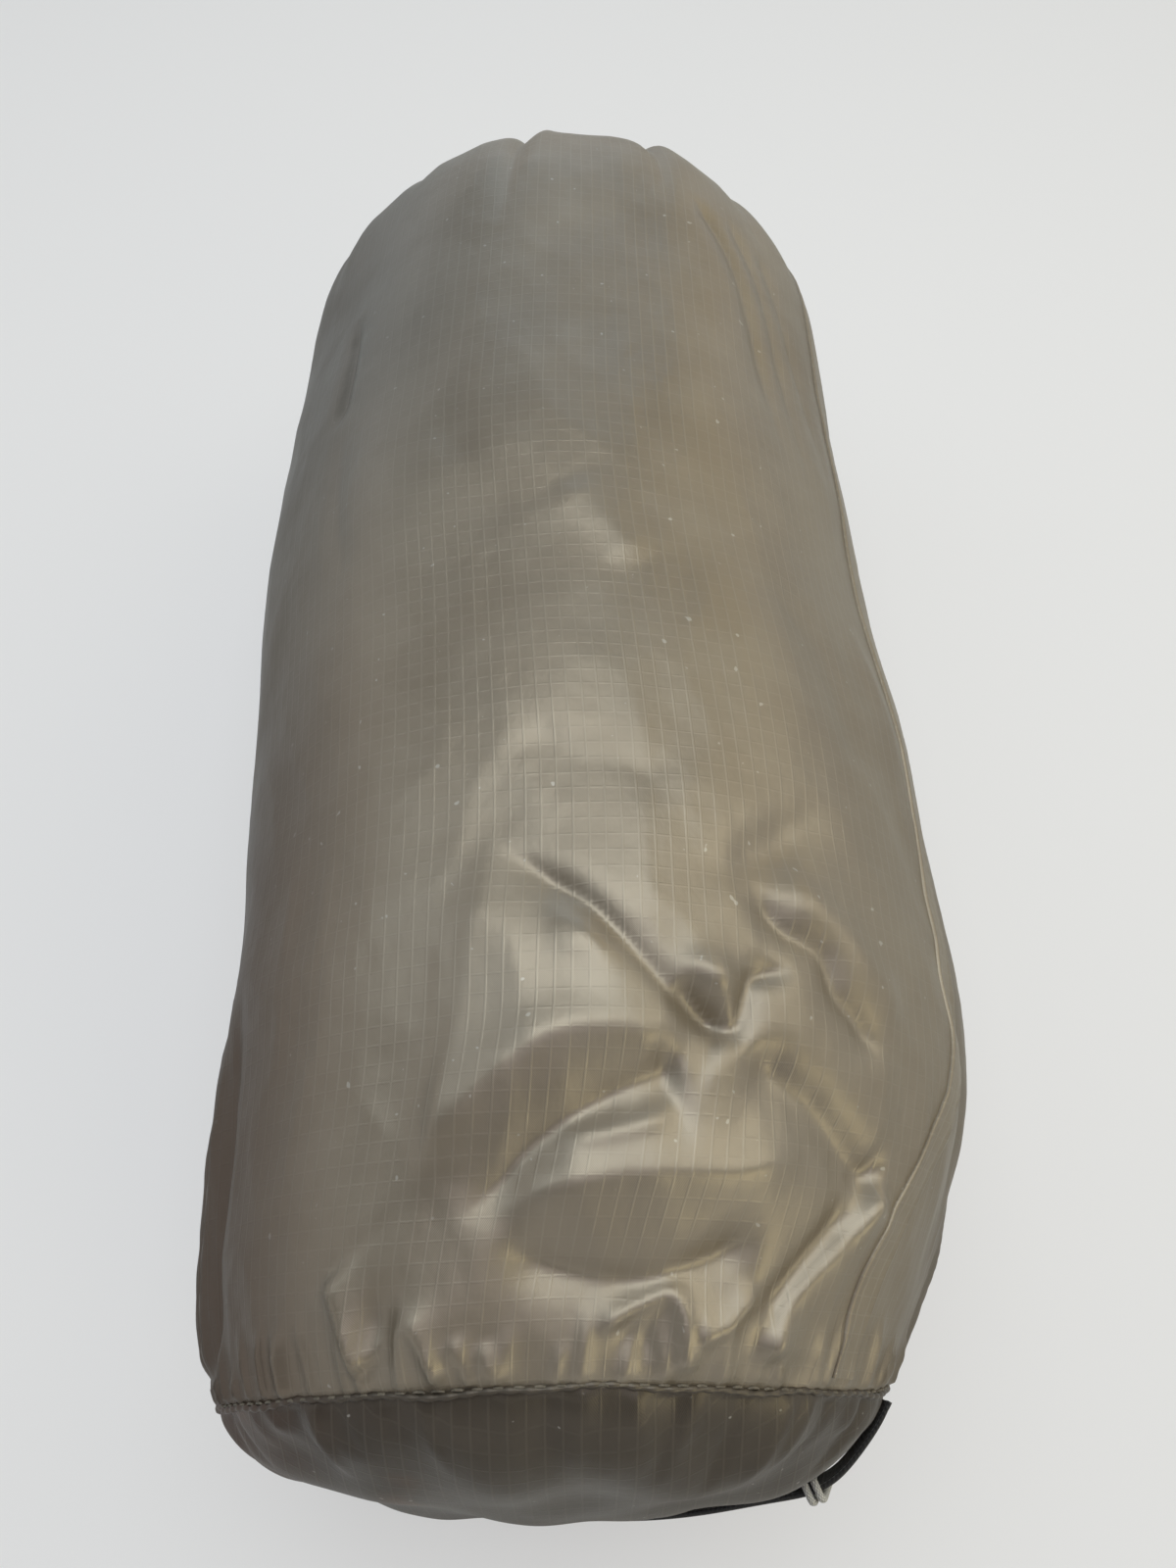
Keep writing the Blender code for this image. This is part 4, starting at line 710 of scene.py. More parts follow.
def cloth_frame(degrees, along_mm):
    """Places on the folded cloth with their directions along it and outwards."""
    step = 0.6

    def place(d, a):
        return sack_point(d, a, sink_at(d, a))
    here = place(degrees, along_mm)
    turn = step / MM_PER_DEGREE
    around = unit(place(degrees + turn, along_mm) - place(degrees - turn, along_mm))
    ahead = unit(place(degrees, along_mm + step) - place(degrees, np.maximum(along_mm - step, 0)))
    return here, ahead, unit(np.cross(around, ahead))


# Nodes

class Nodes:
    """Short ways to add nodes to a material or to the world."""

    def __init__(self, tree):
        self.tree = tree

    def node(self, kind, **settings):
        node = self.tree.nodes.new(kind)
        for key, value in settings.items():
            setattr(node, key, value)
        return node

    def put(self, value, socket):
        if isinstance(value, bpy.types.NodeSocket):
            self.tree.links.new(value, socket)
        else:
            socket.default_value = value

    def maths(self, operation, *values):
        node = self.node("ShaderNodeMath", operation=operation)
        for value, socket in zip(values, node.inputs):
            self.put(value, socket)
        return node.outputs[0]

    def times(self, first, second):
        return self.maths("MULTIPLY", first, second)

    def parts(self, vector):
        node = self.node("ShaderNodeSeparateXYZ")
        self.put(vector, node.inputs[0])
        return node.outputs

    def blend(self, share, first, second):
        """A number between two others."""
        node = self.node("ShaderNodeMix")
        for value, socket in zip((share, first, second), (0, 2, 3)):
            self.put(value, node.inputs[socket])
        return node.outputs[0]

    def uv(self):
        node = self.node("ShaderNodeUVMap", uv_map="UVMap")
        u, v, _ = self.parts(node.outputs[0])
        return node.outputs[0], u, v

    def place(self):
        return self.node("ShaderNodeTexCoord").outputs["Object"]

    def noise(self, where, scale, detail=2.0, roughness=0.5, stretch=None):
        if stretch:
            mapping = self.node("ShaderNodeMapping")
            mapping.inputs["Scale"].default_value = stretch
            self.put(where, mapping.inputs["Vector"])
            where = mapping.outputs[0]
        node = self.node("ShaderNodeTexNoise")
        node.inputs["Scale"].default_value = scale
        node.inputs["Detail"].default_value = detail
        node.inputs["Roughness"].default_value = roughness
        self.put(where, node.inputs["Vector"])
        return node.outputs[0]

    def steps(self, value, low, high, start=0.0, end=1.0):
        """A smooth change from start to end as the value goes from low to high."""
        node = self.node("ShaderNodeMapRange", interpolation_type="SMOOTHSTEP")
        self.put(value, node.inputs["Value"])
        for socket, number in zip(("From Min", "From Max", "To Min", "To Max"),
                                  (low, high, start, end)):
            node.inputs[socket].default_value = number
        return node.outputs[0]

    def wave(self, coordinate, pitch):
        return self.maths("SINE", self.times(coordinate, math.tau / pitch))

    def lines(self, coordinate, pitch, width):
        """1 on thin lines a pitch apart, with soft edges."""
        share = self.maths("FRACT", self.maths("DIVIDE", coordinate, pitch))
        gap = self.maths("ABSOLUTE", self.maths("SUBTRACT", share, 0.5))
        half = width / pitch / 2
        return self.steps(gap, half * 0.5, half * 1.5, 1.0, 0.0)

    def mix(self, share, first, second):
        """A colour between two others."""
        node = self.node("ShaderNodeMix", data_type="RGBA")
        self.put(share, node.inputs[0])
        for value, socket in ((first, node.inputs[6]), (second, node.inputs[7])):
            self.put((*value, 1) if isinstance(value, tuple) else value, socket)
        return node.outputs[2]

    def bump(self, height, strength, distance, below=None):
        node = self.node("ShaderNodeBump")
        node.inputs["Strength"].default_value = strength
        node.inputs["Distance"].default_value = distance
        self.put(height, node.inputs["Height"])
        if below is not None:
            self.put(below, node.inputs["Normal"])
        return node.outputs[0]


class Paint(Nodes):
    """A Principled material."""

    def __init__(self, name, roughness, metallic=0.0, sheen=0.0):
        self.material = bpy.data.materials.new(name)
        self.material.use_nodes = True
        super().__init__(self.material.node_tree)
        self.shader = self.tree.nodes["Principled BSDF"]
        self.shader.inputs["Roughness"].default_value = roughness
        self.shader.inputs["Metallic"].default_value = metallic
        self.shader.inputs["Sheen Weight"].default_value = sheen

    def finish(self, colour, normal=None, roughness=None):
        self.put(colour, self.shader.inputs["Base Color"])
        if roughness is not None:
            self.put(roughness, self.shader.inputs["Roughness"])
        if normal is not None:
            self.put(normal, self.shader.inputs["Normal"])
        return self.material


# Camera, floor and light

def make_camera():
    data = bpy.data.cameras.new("camera")
    data.sensor_width = SENSOR_MM
    data.lens = LENS_MM
    data.clip_start = 0.01
    item = add_item("camera", data)
    item.location = (SIDEWAYS, SEAM_Y - CAMERA_BEHIND_SEAM, CAMERA_HEIGHT)
    item.rotation_euler = (math.pi / 2 - CAMERA_TILT, 0, 0)
    bpy.context.scene.camera = item


def make_lamp(name, place, size, power, colour):
    """A soft lamp that looks at the sack."""
    data = bpy.data.lights.new(name, "AREA")
    data.shape = "RECTANGLE"
    data.size, data.size_y = size
    data.energy = power
    data.color = colour
    item = add_item(name, data)
    item.location = place
    ahead = Vector((0, 0, AXIS_HEIGHT)) - Vector(place)
    item.rotation_euler = ahead.to_track_quat("-Z", "Y").to_euler()


# The lamps: name, place, sizes, watts and colour
LAMPS = (("top", (0.0, 0.15, 1.0), (0.7, 0.6), 3.9, (0.93, 0.99, 1.0)),
         ("top_near", (0.0, -0.45, 1.0), (0.7, 0.6), 1.0, (0.92, 0.86, 1.0)),
         ("top_left", (-0.7, 0.1, 0.85), (0.6, 0.7), 1.5, (0.82, 0.92, 1.0)),
         ("top_right", (0.7, 0.1, 0.85), (0.6, 0.7), 2.5, (1.0, 0.96, 0.80)),
         ("back", (0.0, 1.4, 0.75), (0.9, 0.5), 1.5, (0.55, 0.76, 1.0)),
         ("back_right", (0.8, 0.9, 0.8), (0.6, 0.6), 0.85, (1.0, 0.85, 0.47)),
         ("front_right", (0.8, -0.8, 0.6), (0.6, 0.5), 1.9, (1.0, 0.91, 0.57)))


def make_world():
    """Pale walls all round, under a dim ceiling; they light the sack by their reflections."""
    world = bpy.data.worlds.new("world")
    bpy.context.scene.world = world
    world.use_nodes = True
    sky = Nodes(world.node_tree)
    rays = sky.node("ShaderNodeLightPath").outputs
    height = sky.parts(sky.node("ShaderNodeTexCoord").outputs["Generated"])[2]
    room = sky.steps(height, *WALL_EDGE, WALL, CEILING)
    reflected = sky.maths("MAXIMUM", rays["Is Glossy Ray"], rays["Is Transmission Ray"])
    strength = sky.blend(rays["Is Camera Ray"], sky.blend(reflected, FILL, room), SHOWN)
    background = sky.tree.nodes["Background"]
    background.inputs["Color"].default_value = (1, 1, 1, 1)
    sky.put(strength, background.inputs["Strength"])


def make_floor():
    """A floor that is seen paler than the lamps make it, and far away as pale as the walls."""
    corners = [(-FLOOR_REACH, -FLOOR_REACH, 0), (FLOOR_REACH, -FLOOR_REACH, 0),
               (FLOOR_REACH, FLOOR_REACH, 0), (-FLOOR_REACH, FLOOR_REACH, 0)]
    floor = make_object("floor", corners, [[0, 1, 2, 3]])
    paint = Paint("floor", 0.9)
    paint.put(FLOOR_COLOUR, paint.shader.inputs["Base Color"])
    rays = paint.node("ShaderNodeLightPath").outputs
    camera = rays["Is Camera Ray"]
    seen = paint.maths("MAXIMUM", camera, rays["Is Glossy Ray"])
    seen = paint.maths("MAXIMUM", seen, rays["Is Transmission Ray"])
    away = paint.node("ShaderNodeVectorMath", operation="LENGTH")
    paint.put(paint.place(), away.inputs[0])
    far = paint.times(seen, paint.steps(away.outputs["Value"], *FLOOR_FADE))
    share = paint.maths("MAXIMUM", far, paint.times(camera, NEAR_GLOW))
    glow = paint.node("ShaderNodeEmission")
    paint.put(paint.blend(camera, WALL, SHOWN), glow.inputs["Strength"])
    mix = paint.node("ShaderNodeMixShader")
    for value, socket in zip((share, paint.shader.outputs[0], glow.outputs[0]), mix.inputs):
        paint.put(value, socket)
    paint.put(mix.outputs[0], paint.tree.nodes["Material Output"].inputs["Surface"])
    floor.data.materials.append(paint.material)


def make_studio():
    for lamp in LAMPS:
        make_lamp(*lamp)
    make_world()
    make_floor()
    bpy.context.scene.view_settings.view_transform = "Standard"


# Materials

TAUPE = (0.305, 0.262, 0.202)
TAUPE_LIGHT = (0.38, 0.34, 0.275)
TAUPE_DARK = (0.25, 0.21, 0.158)
TAUPE_SEAM = (0.30, 0.258, 0.198)
# The base's cloth is darker than the tube's, and these colours are darker still as painted shade,
# for the base faces down, away from the lamps
BASE_BROWN = (0.092, 0.077, 0.058)
BASE_LIGHT = (0.155, 0.134, 0.104)
BASE_DARK = (0.058, 0.045, 0.034)
# Painted reflection: a cool bluish cast, as of a pale sky mirrored in the satin
PAINTED_COOL_REFLECTION = (0.150, 0.168, 0.172)
# Painted reflection: a reddish-brown cast, as of a warm surface mirrored in the satin
PAINTED_REDDISH_REFLECTION = (0.115, 0.058, 0.040)
RUST_SPOT = (0.16, 0.075, 0.035)
# Painted shade for the cloth's underside
PAINTED_UNDERSIDE_SHADE = (0.045, 0.036, 0.027)
# Painted shade for the cloth's flanks
PAINTED_FLANK_SHADE = (0.065, 0.048, 0.035)
LINT = (0.62, 0.60, 0.55)
SATIN = 0.55
FLANK_SHADE_DEGREES = (80, 34, 78)    # painted shade of the flanks: the unshaded middle, and how far from it the shade starts and is full
RIPSTOP_WEAVE = 0.00030
RIPSTOP_WIDTHS = (0.00034, 0.00030)


def ripstop(name, cloth, thread, dark, across_pitch, along_pitch, grid=0.5, stain=0.0, flank_shade=None):
    """Coated ripstop nylon: a satin grid of thick threads, a fine weave, a soft crumple, lint and
    stains, with painted reflections and painted shade.

    Its last argument is the cloth's unshaded middle across it, and how far from there the painted
    shade of the flanks starts and is full.
    """
    paint = Paint(name, 0.40, SATIN)
    paint.shader.inputs["Specular IOR Level"].default_value = 0.6
    uv, u, v = paint.uv()
    where = paint.place()
    across, along = (paint.lines(coordinate, pitch, width) for coordinate, pitch, width
                     in zip((u, v), (across_pitch, along_pitch), RIPSTOP_WIDTHS))
    threads = paint.maths("MAXIMUM", across, paint.times(along, 0.5))
    weave = paint.times(paint.wave(u, RIPSTOP_WEAVE), paint.wave(v, RIPSTOP_WEAVE))
    broad = paint.noise(where, 11.0, 3.0, 0.55)
    small = paint.noise(where, 70.0, 3.0, 0.6)
    colour = paint.mix(paint.steps(broad, 0.30, 0.72), dark, cloth)
    colour = paint.mix(paint.steps(small, 0.35, 0.75, 0.0, 0.20), colour, thread)
    colour = paint.mix(paint.times(threads, grid), colour, thread)
    lint = paint.noise(where, 520.0, 1.0, 0.5)
    colour = paint.mix(paint.steps(lint, 0.755, 0.80, 0.0, 0.45), colour, LINT)
    x, y, z = paint.parts(where)
    # Painted reflection: the left side, more towards the far end, takes a cool bluish cast
    painted_cool_reflection_share = paint.times(paint.steps(x, 0.0, -0.050), paint.steps(y, -0.06, 0.06, 0.0, 0.55))
    colour = paint.mix(painted_cool_reflection_share, colour, PAINTED_COOL_REFLECTION)
    # Painted reflection: the left side towards the base takes a reddish-brown cast
    painted_reddish_reflection_share = paint.times(paint.steps(x, -0.030, -0.068), paint.steps(y, 0.0, -0.11, 0.0, 0.6))
    colour = paint.mix(painted_reddish_reflection_share, colour, PAINTED_REDDISH_REFLECTION)
    # Painted shade: the cloth darkens towards the bottom, near the floor
    colour = paint.mix(paint.steps(z, 0.060, 0.006, 0.0, 0.6), colour, PAINTED_UNDERSIDE_SHADE)
    # Painted shade: the cloth darkens towards its flanks, away from its unshaded middle across it
    if flank_shade:
        middle, unshaded_reach, full_shade_reach = flank_shade
        away = paint.maths("ABSOLUTE", paint.maths("SUBTRACT", u, middle))
        colour = paint.mix(paint.steps(away, unshaded_reach, full_shade_reach, 0.0, 0.62), colour, PAINTED_FLANK_SHADE)
    if stain:
        spots = paint.noise(where, 34.0, 2.0, 0.5)
        colour = paint.mix(paint.steps(spots, 0.66, 0.76, 0.0, stain), colour, RUST_SPOT)
    roughness = paint.steps(paint.noise(where, 42.0, 2.0, 0.5), 0.3, 0.75, 0.36, 0.46)
    soft = paint.bump(paint.noise(uv, 210.0, 3.0, 0.55, (1.0, 0.7, 1.0)), 0.25, 0.0006)
    height = paint.maths("ADD", threads, paint.times(weave, 0.16))
    return paint.finish(colour, paint.bump(height, 0.24, 0.00014, soft), roughness)


def thread_paint(name, colour):
    """Twisted sewing thread."""
    paint = Paint(name, 0.6)
    where = paint.place()
    tone = paint.noise(where, 900.0, 2.0, 0.6)
    return paint.finish(paint.mix(paint.steps(tone, 0.3, 0.7), scaled(colour, 0.55), colour),
                        paint.bump(paint.noise(where, 2600.0, 1.0, 0.5), 0.5, 0.0001))


def cloth_paint(name, colour, dark, roughness=0.8, scale=0.0005):
    """A plain woven cloth."""
    paint = Paint(name, roughness, sheen=0.2)
    where = paint.place()
    x, y, z = paint.parts(where)
    weave = paint.times(paint.wave(y, scale), paint.wave(paint.maths("ADD", x, z), scale))
    tone = paint.mix(paint.steps(paint.noise(where, 30.0, 3.0, 0.6), 0.3, 0.7), dark, colour)
    soft = paint.bump(paint.noise(where, 160.0, 3.0, 0.6), 0.4, 0.0006)
    return paint.finish(tone, paint.bump(weave, 0.35, 0.00012, soft))


def webbing_paint(name, colour, light):
    """Ribbed polyester webbing: ribs run along the strap, in rows of small herringbone stitches."""
    paint = Paint(name, 0.62, sheen=0.25)
    uv, u, v = paint.uv()
    rib = paint.wave(u, 0.00125)
    shifted = paint.maths("ADD", paint.times(v, math.tau / 0.0009), paint.times(rib, 1.4))
    twill = paint.maths("SINE", shifted)
    height = paint.maths("ADD", paint.times(rib, 0.6), paint.times(twill, 0.4))
    # Painted highlight and shade: the colour is lighter on the ribs' crests and darker in the
    # grooves between them
    tone = paint.mix(paint.steps(height, 0.1, 0.9, 0.0, 0.6), colour, light)
    fuzz = paint.noise(uv, 900.0, 2.0, 0.6)
    tone = paint.mix(paint.steps(fuzz, 0.62, 0.75, 0.0, 0.35), tone, (0.10, 0.10, 0.10))
    return paint.finish(tone, paint.bump(height, 0.7, 0.00022))


def braid_paint(name, colour, dark, pitch=0.0011, around=8):
    """A braided cord, darker in the grooves between its strands as painted shade; u goes once round
    it from 0 to 1, v along it in metres.
    """
    paint = Paint(name, 0.7, sheen=0.2)
    _, u, v = paint.uv()
    turn = paint.times(u, around * math.tau / 2)
    run = paint.times(v, math.tau / pitch / 2)
    strands = [paint.maths("ABSOLUTE", paint.maths("SINE", paint.maths(way, turn, run)))
               for way in ("ADD", "SUBTRACT")]
    height = paint.times(*strands)
    # Painted shade: the colour darkens in the grooves between the strands
    tone = paint.mix(paint.steps(height, 0.05, 0.6), dark, colour)
    return paint.finish(tone, paint.bump(height, 0.8, 0.0002))


def moulded_paint(name, colour, roughness=0.45):
    """Moulded plastic with a fine grain and a little wear."""
    paint = Paint(name, roughness)
    where = paint.place()
    grain = paint.noise(where, 1400.0, 2.0, 0.5)
    wear = paint.noise(where, 240.0, 4.0, 0.65)
    light = tuple(min(1.0, part * 1.9 + 0.012) for part in colour)
    tone = paint.mix(paint.steps(wear, 0.52, 0.75, 0.0, 0.6), colour, light)
    rough = paint.steps(wear, 0.35, 0.7, roughness - 0.08, roughness + 0.12)
    return paint.finish(tone, paint.bump(grain, 0.25, 0.0001), rough)


def metal_paint(name, colour, roughness=0.32, brushed=(1.0, 0.06, 1.0)):
    """Drawn or machined metal with fine lines along it."""
    paint = Paint(name, roughness, 1.0)
    where = paint.place()
    lines = paint.noise(where, 1500.0, 2.0, 0.6, brushed)
    tone = paint.mix(paint.steps(lines, 0.3, 0.7), scaled(colour, 0.8), colour)
    rough = paint.steps(paint.noise(where, 130.0, 3.0, 0.6), 0.3, 0.7,
                        roughness - 0.07, roughness + 0.1)
    return paint.finish(tone, paint.bump(lines, 0.15, 0.00005), rough)


# Sack

def make_sack():
    """The ripstop tube with its folds, its pleated mouth and its puckered seam edge."""
    degrees = np.arange(AROUND) * 360.0 / AROUND
    along = FOLDS.along
    points = sack_point(degrees[None, :], along[:, None], FOLDS.height)
    u = np.arange(AROUND + 1) / AROUND * 360 * MM_PER_DEGREE * MM
    item = grid_object("sack_body_cloth", points, True, u, along * MM, True)
    across = 360 * MM_PER_DEGREE * MM / THREADS_AROUND
    # The last argument sets where the tube's flanks take painted shade
    paint = ripstop("sack_ripstop", TAUPE, TAUPE_LIGHT, TAUPE_DARK, across,
                    RIPSTOP_ALONG_MM * MM, 0.24,
                    flank_shade=scaled(FLANK_SHADE_DEGREES, MM_PER_DEGREE * MM))
    finish_piece(item, paint, "sack_body")


def base_profile():
    """Even steps along the base's cloth from its middle: millimetres along it, radius and rise."""
    share = np.sin(np.linspace(0, math.pi / 2, 900)) ** (2 / DOME_POWER)
    run = SEAM_RADIUS * share
    rise = dome_rise(run)
    flat = travelled(run, rise) / MM
    even = np.linspace(0, flat[-1], BASE_ROWS)
    return even, np.interp(even, flat, run), np.interp(even, flat, rise)


def base_puckers(flat):
    """Short folds that run in from the base's seam."""
    rim = flat[-1]
    chart = Relief(np.arange(BASE_COLUMNS) * 360.0 / BASE_COLUMNS, flat, 360.0)
    for i in range(BASE_PUCKERS):
        at = 360 / BASE_PUCKERS * (i + CHANCE.uniform(-0.3, 0.3))
        reach = CHANCE.uniform(7, 24)
        drift = CHANCE.uniform(-3, 3)
        chart.fold([(at + drift, rim - reach), (at + drift / 2, rim - reach / 2), (at, rim + 1)],
                   CHANCE.uniform(0.3, 0.9) * CHANCE.choice((-1, 1, 1)), 1.3, 2.2, 1.5, (0.5, 0.0))
    return chart.height


def base_relief(flat, x, z):
    """How far the base's cloth stands out from its dome, at places x and z in millimetres."""
    puckers = base_puckers(flat[:, 0])
    rim = flat[-1]
    lumps = np.zeros_like(x)
    for _ in range(14):
        heading = CHANCE.uniform(0, math.tau)
        pitch = CHANCE.uniform(16, 44)
        lumps += np.cos((x * math.cos(heading) + z * math.sin(heading)) * math.tau / pitch
                        + CHANCE.uniform(0, math.tau))
    inner = 1 - ease((flat - rim + 12) / 12)
    sink = puckers * ease((flat - 8) / 20) + 0.20 * lumps * (0.3 + 0.7 * inner)
    # A soft sag in rings under the seam, and the lower left pushed in where it rests
    rings = np.cos((flat - rim + 16) / 16 * math.pi)
    sink += 0.5 * rings * ease((z + 5) / 30) * ease((flat - 24) / 20)
    sink -= 2.6 * bump((x + 24) / 26) * bump((z + 48) / 20)
    # The strap lies on it, so nothing stands up there
    off_strap = x * math.sin(HANDLE_TILT) - z * math.cos(HANDLE_TILT) - HANDLE_OFFSET / MM
    sink -= ease((11 - np.abs(off_strap)) / 3) * np.maximum(sink + 0.2, 0)
    return sink * (ease((rim - flat) / 1.5) * 0.9 + 0.1)


def make_base():
    """The domed base, puckered along its seam and pushed in where it meets the floor."""
    flat, run, rise = base_profile()
    out_run, out_rise = -np.gradient(rise, flat), np.gradient(run, flat)
    size = np.hypot(out_run, out_rise)
    flat, run, rise, out_run, out_rise = (
        part[:, None] for part in (flat, run, rise, out_run / size, out_rise / size))
    angle = np.radians(np.arange(BASE_COLUMNS) * 360.0 / BASE_COLUMNS)[None, :]
    x, z = run * np.cos(angle) / MM, run * np.sin(angle) / MM
    sink = base_relief(flat, x, z) * MM
    reach = run + sink * out_run
    points = np.stack([SIDEWAYS + SEAM_LEAN + reach * np.cos(angle),
                       SEAM_Y + base_shift(x * MM, z * MM) - rise - sink * out_rise,
                       SEAM_AXIS_HEIGHT + reach * np.sin(angle)], axis=-1)[:, ::-1]
    faces = grid_faces(*points.shape[:2], True)
    points = points.reshape(-1, 3)
    uv = points[faces][..., [0, 2]]
    item = make_object("sack_base_cloth", points, faces, uv)
    paint = ripstop("base_ripstop", BASE_BROWN, BASE_LIGHT, BASE_DARK, RIPSTOP_ACROSS_MM * MM,
                    RIPSTOP_ALONG_MM * MM, 0.25, 0.55)
    finish_piece(item, paint, "sack_base")


def seam_circle(degrees):
    """Places on the seam's middle line, with their directions round it and outwards."""
    angle = np.radians(degrees)
    centre = np.array([SIDEWAYS + SEAM_LEAN, SEAM_Y, SEAM_AXIS_HEIGHT])
    outward = np.stack([np.cos(angle), 0 * angle, np.sin(angle)], axis=-1)
    around = np.stack([-np.sin(angle), 0 * angle, np.cos(angle)], axis=-1)
    shift = seam_shift(degrees)[:, None] * np.array([0, 1, 0])
    return centre + SEAM_RADIUS * outward + shift, around, outward


def make_base_seam():
    """The narrow sewn edge between tube and base, pinched by its stitches."""
    count = 1080
    degrees = np.arange(count) * 360.0 / count
    middle, around, outward = seam_circle(degrees)
    length = math.tau * SEAM_RADIUS / MM
    stitches = round(length / STITCH_PITCH_MM)
    beads = np.cos(np.radians(degrees) * stitches)
    wander = (0.0003 * np.sin(np.radians(degrees) * 9 + 1)
              + 0.0002 * np.sin(np.radians(degrees) * 23))
    radius = SEAM_EDGE * (1.0 + 0.20 * beads)
    middle = middle + np.array([0, 1, 0]) * wander[:, None] + outward * 0.0002
    roll = tube("base_seam_roll", middle, radius, 14, True, math.tau * SEAM_EDGE)
    paint = ripstop("seam_ripstop", BASE_BROWN, BASE_LIGHT, BASE_DARK, 0.0013, 0.00295, 0.3)
    finish_piece(roll, paint, "base_seam")
    at = (np.arange(stitches) + 0.5) * 360.0 / stitches
    here, around, outward = seam_circle(at)
    towards_tube = unit(outward * 0.8 + np.array([0, 0.7, 0]))
    centres = here + outward * 0.0002 + towards_tube * SEAM_EDGE * 0.86
    row = stitch_row("base_seam_stitches", centres, around, towards_tube,
                     STITCH_PITCH_MM * 0.74 * MM, THREAD_DIAMETER)
    finish_piece(row, thread_paint("seam_thread", (0.19, 0.165, 0.125)))


def side_seam_degrees(along_mm):
    turn = ease((along_mm * MM - SIDE_SEAM_TURN_START) / SIDE_SEAM_TURN_RUN)
    return SIDE_SEAM_DEGREES + SIDE_SEAM_TURN * (1 - turn)


def make_side_seam():
    """The felled seam: a band of doubled cloth with two rows of stitches, up to the gathers."""
    make_seam_part("side_seam", *SIDE_SEAM_ENDS_MM, "side_seam")
    make_seam_part("side_seam_at_mouth", SIDE_SEAM_ENDS_MM[1] - 1, CLOTH_LENGTH_MM - 7)


def make_seam_part(name, first, last, node=None):
    """One length of the side seam, between two places along the cloth in millimetres."""
    along = np.arange(first, last, 1.0)
    share = np.array([-0.5, -0.497, -0.47, -0.40, -0.30, -0.15, 0.0, 0.15, 0.30, 0.40, 0.47, 0.497,
                      0.5])
    lift = np.array([-0.6, 0.10, 0.42, 0.55, 0.44, 0.52, 0.56, 0.52, 0.44, 0.60, 0.50, 0.18, -0.6])
    offset = share * SIDE_SEAM_WIDTH_MM
    degrees = side_seam_degrees(along)[:, None] + offset[None, :] / MM_PER_DEGREE
    pucker = (0.10 * np.cos(math.tau * along / STITCH_PITCH_MM)[:, None]
              * bump((np.abs(share) - STITCH_ROW) / 0.06)[None, :])
    spread = np.broadcast_to(along[:, None], degrees.shape)
    points = sack_point(degrees, spread, sink_at(degrees, spread) + lift[None, :] + pucker)
    item = grid_object(name + "_band", points, False, offset * MM, along * MM, True)
    paint = ripstop(name + "_ripstop", TAUPE_SEAM, TAUPE_LIGHT, TAUPE_DARK,
                    RIPSTOP_ACROSS_MM * MM, RIPSTOP_ALONG_MM * MM, 0.45)
    finish_piece(item, paint, node)
    at = np.tile(np.arange(first + 2.0, last - 1.0, STITCH_PITCH_MM), 2)
    side = np.repeat((-STITCH_ROW, STITCH_ROW), len(at) // 2)
    where = side_seam_degrees(at) + side * SIDE_SEAM_WIDTH_MM / MM_PER_DEGREE
    here, ahead, outward = cloth_frame(where, at)
    stitches = stitch_row(name + "_stitches", here + outward * STITCH_LIFT, ahead, outward,
                          SIDE_STITCH, THREAD_DIAMETER)
    finish_piece(stitches, thread_paint("side_thread", (0.40, 0.36, 0.28)))


# Handle

def handle_point(turn, share, lift=0.0):
    """World places on the strap; share is 0 at its edge nearer the base's middle and 1 opposite."""
    along = np.array([math.cos(HANDLE_TILT), 0, math.sin(HANDLE_TILT)])
    across = np.array([math.sin(HANDLE_TILT), 0, -math.cos(HANDLE_TILT)])
    middle = np.array([SIDEWAYS + SEAM_LEAN, SEAM_Y, SEAM_AXIS_HEIGHT]) + across * HANDLE_OFFSET
    turn, share, lift = np.broadcast_arrays(turn, share, lift)
    edges = []
    for offset in (HANDLE_OFFSET - WEBBING_WIDTH / 2, HANDLE_OFFSET + WEBBING_WIDTH / 2):
        run = math.sqrt(SEAM_RADIUS ** 2 - offset ** 2) * np.cos(turn)
        edges.append(np.stack([run, dome_rise(np.hypot(offset, run))], axis=-1))
    out = unit(np.stack([np.cos(turn) / SEAM_RADIUS, np.sin(turn) / DOME_DEPTH], axis=-1))
    total = HANDLE_GAP + HANDLE_SLACK * bump((turn - BULGE_PLACE) / BULGE_SPREAD) + lift
    flat = edges[0] + (edges[1] - edges[0]) * share[..., None] + out * total[..., None]
    place = middle + along * flat[..., :1] + across * (WEBBING_WIDTH * (share - 0.5))[..., None]
    shift = base_shift(place[..., 0] - SIDEWAYS - SEAM_LEAN, place[..., 2] - SEAM_AXIS_HEIGHT)
    return place + np.array([0, 1, 0]) * (shift - flat[..., 1])[..., None]


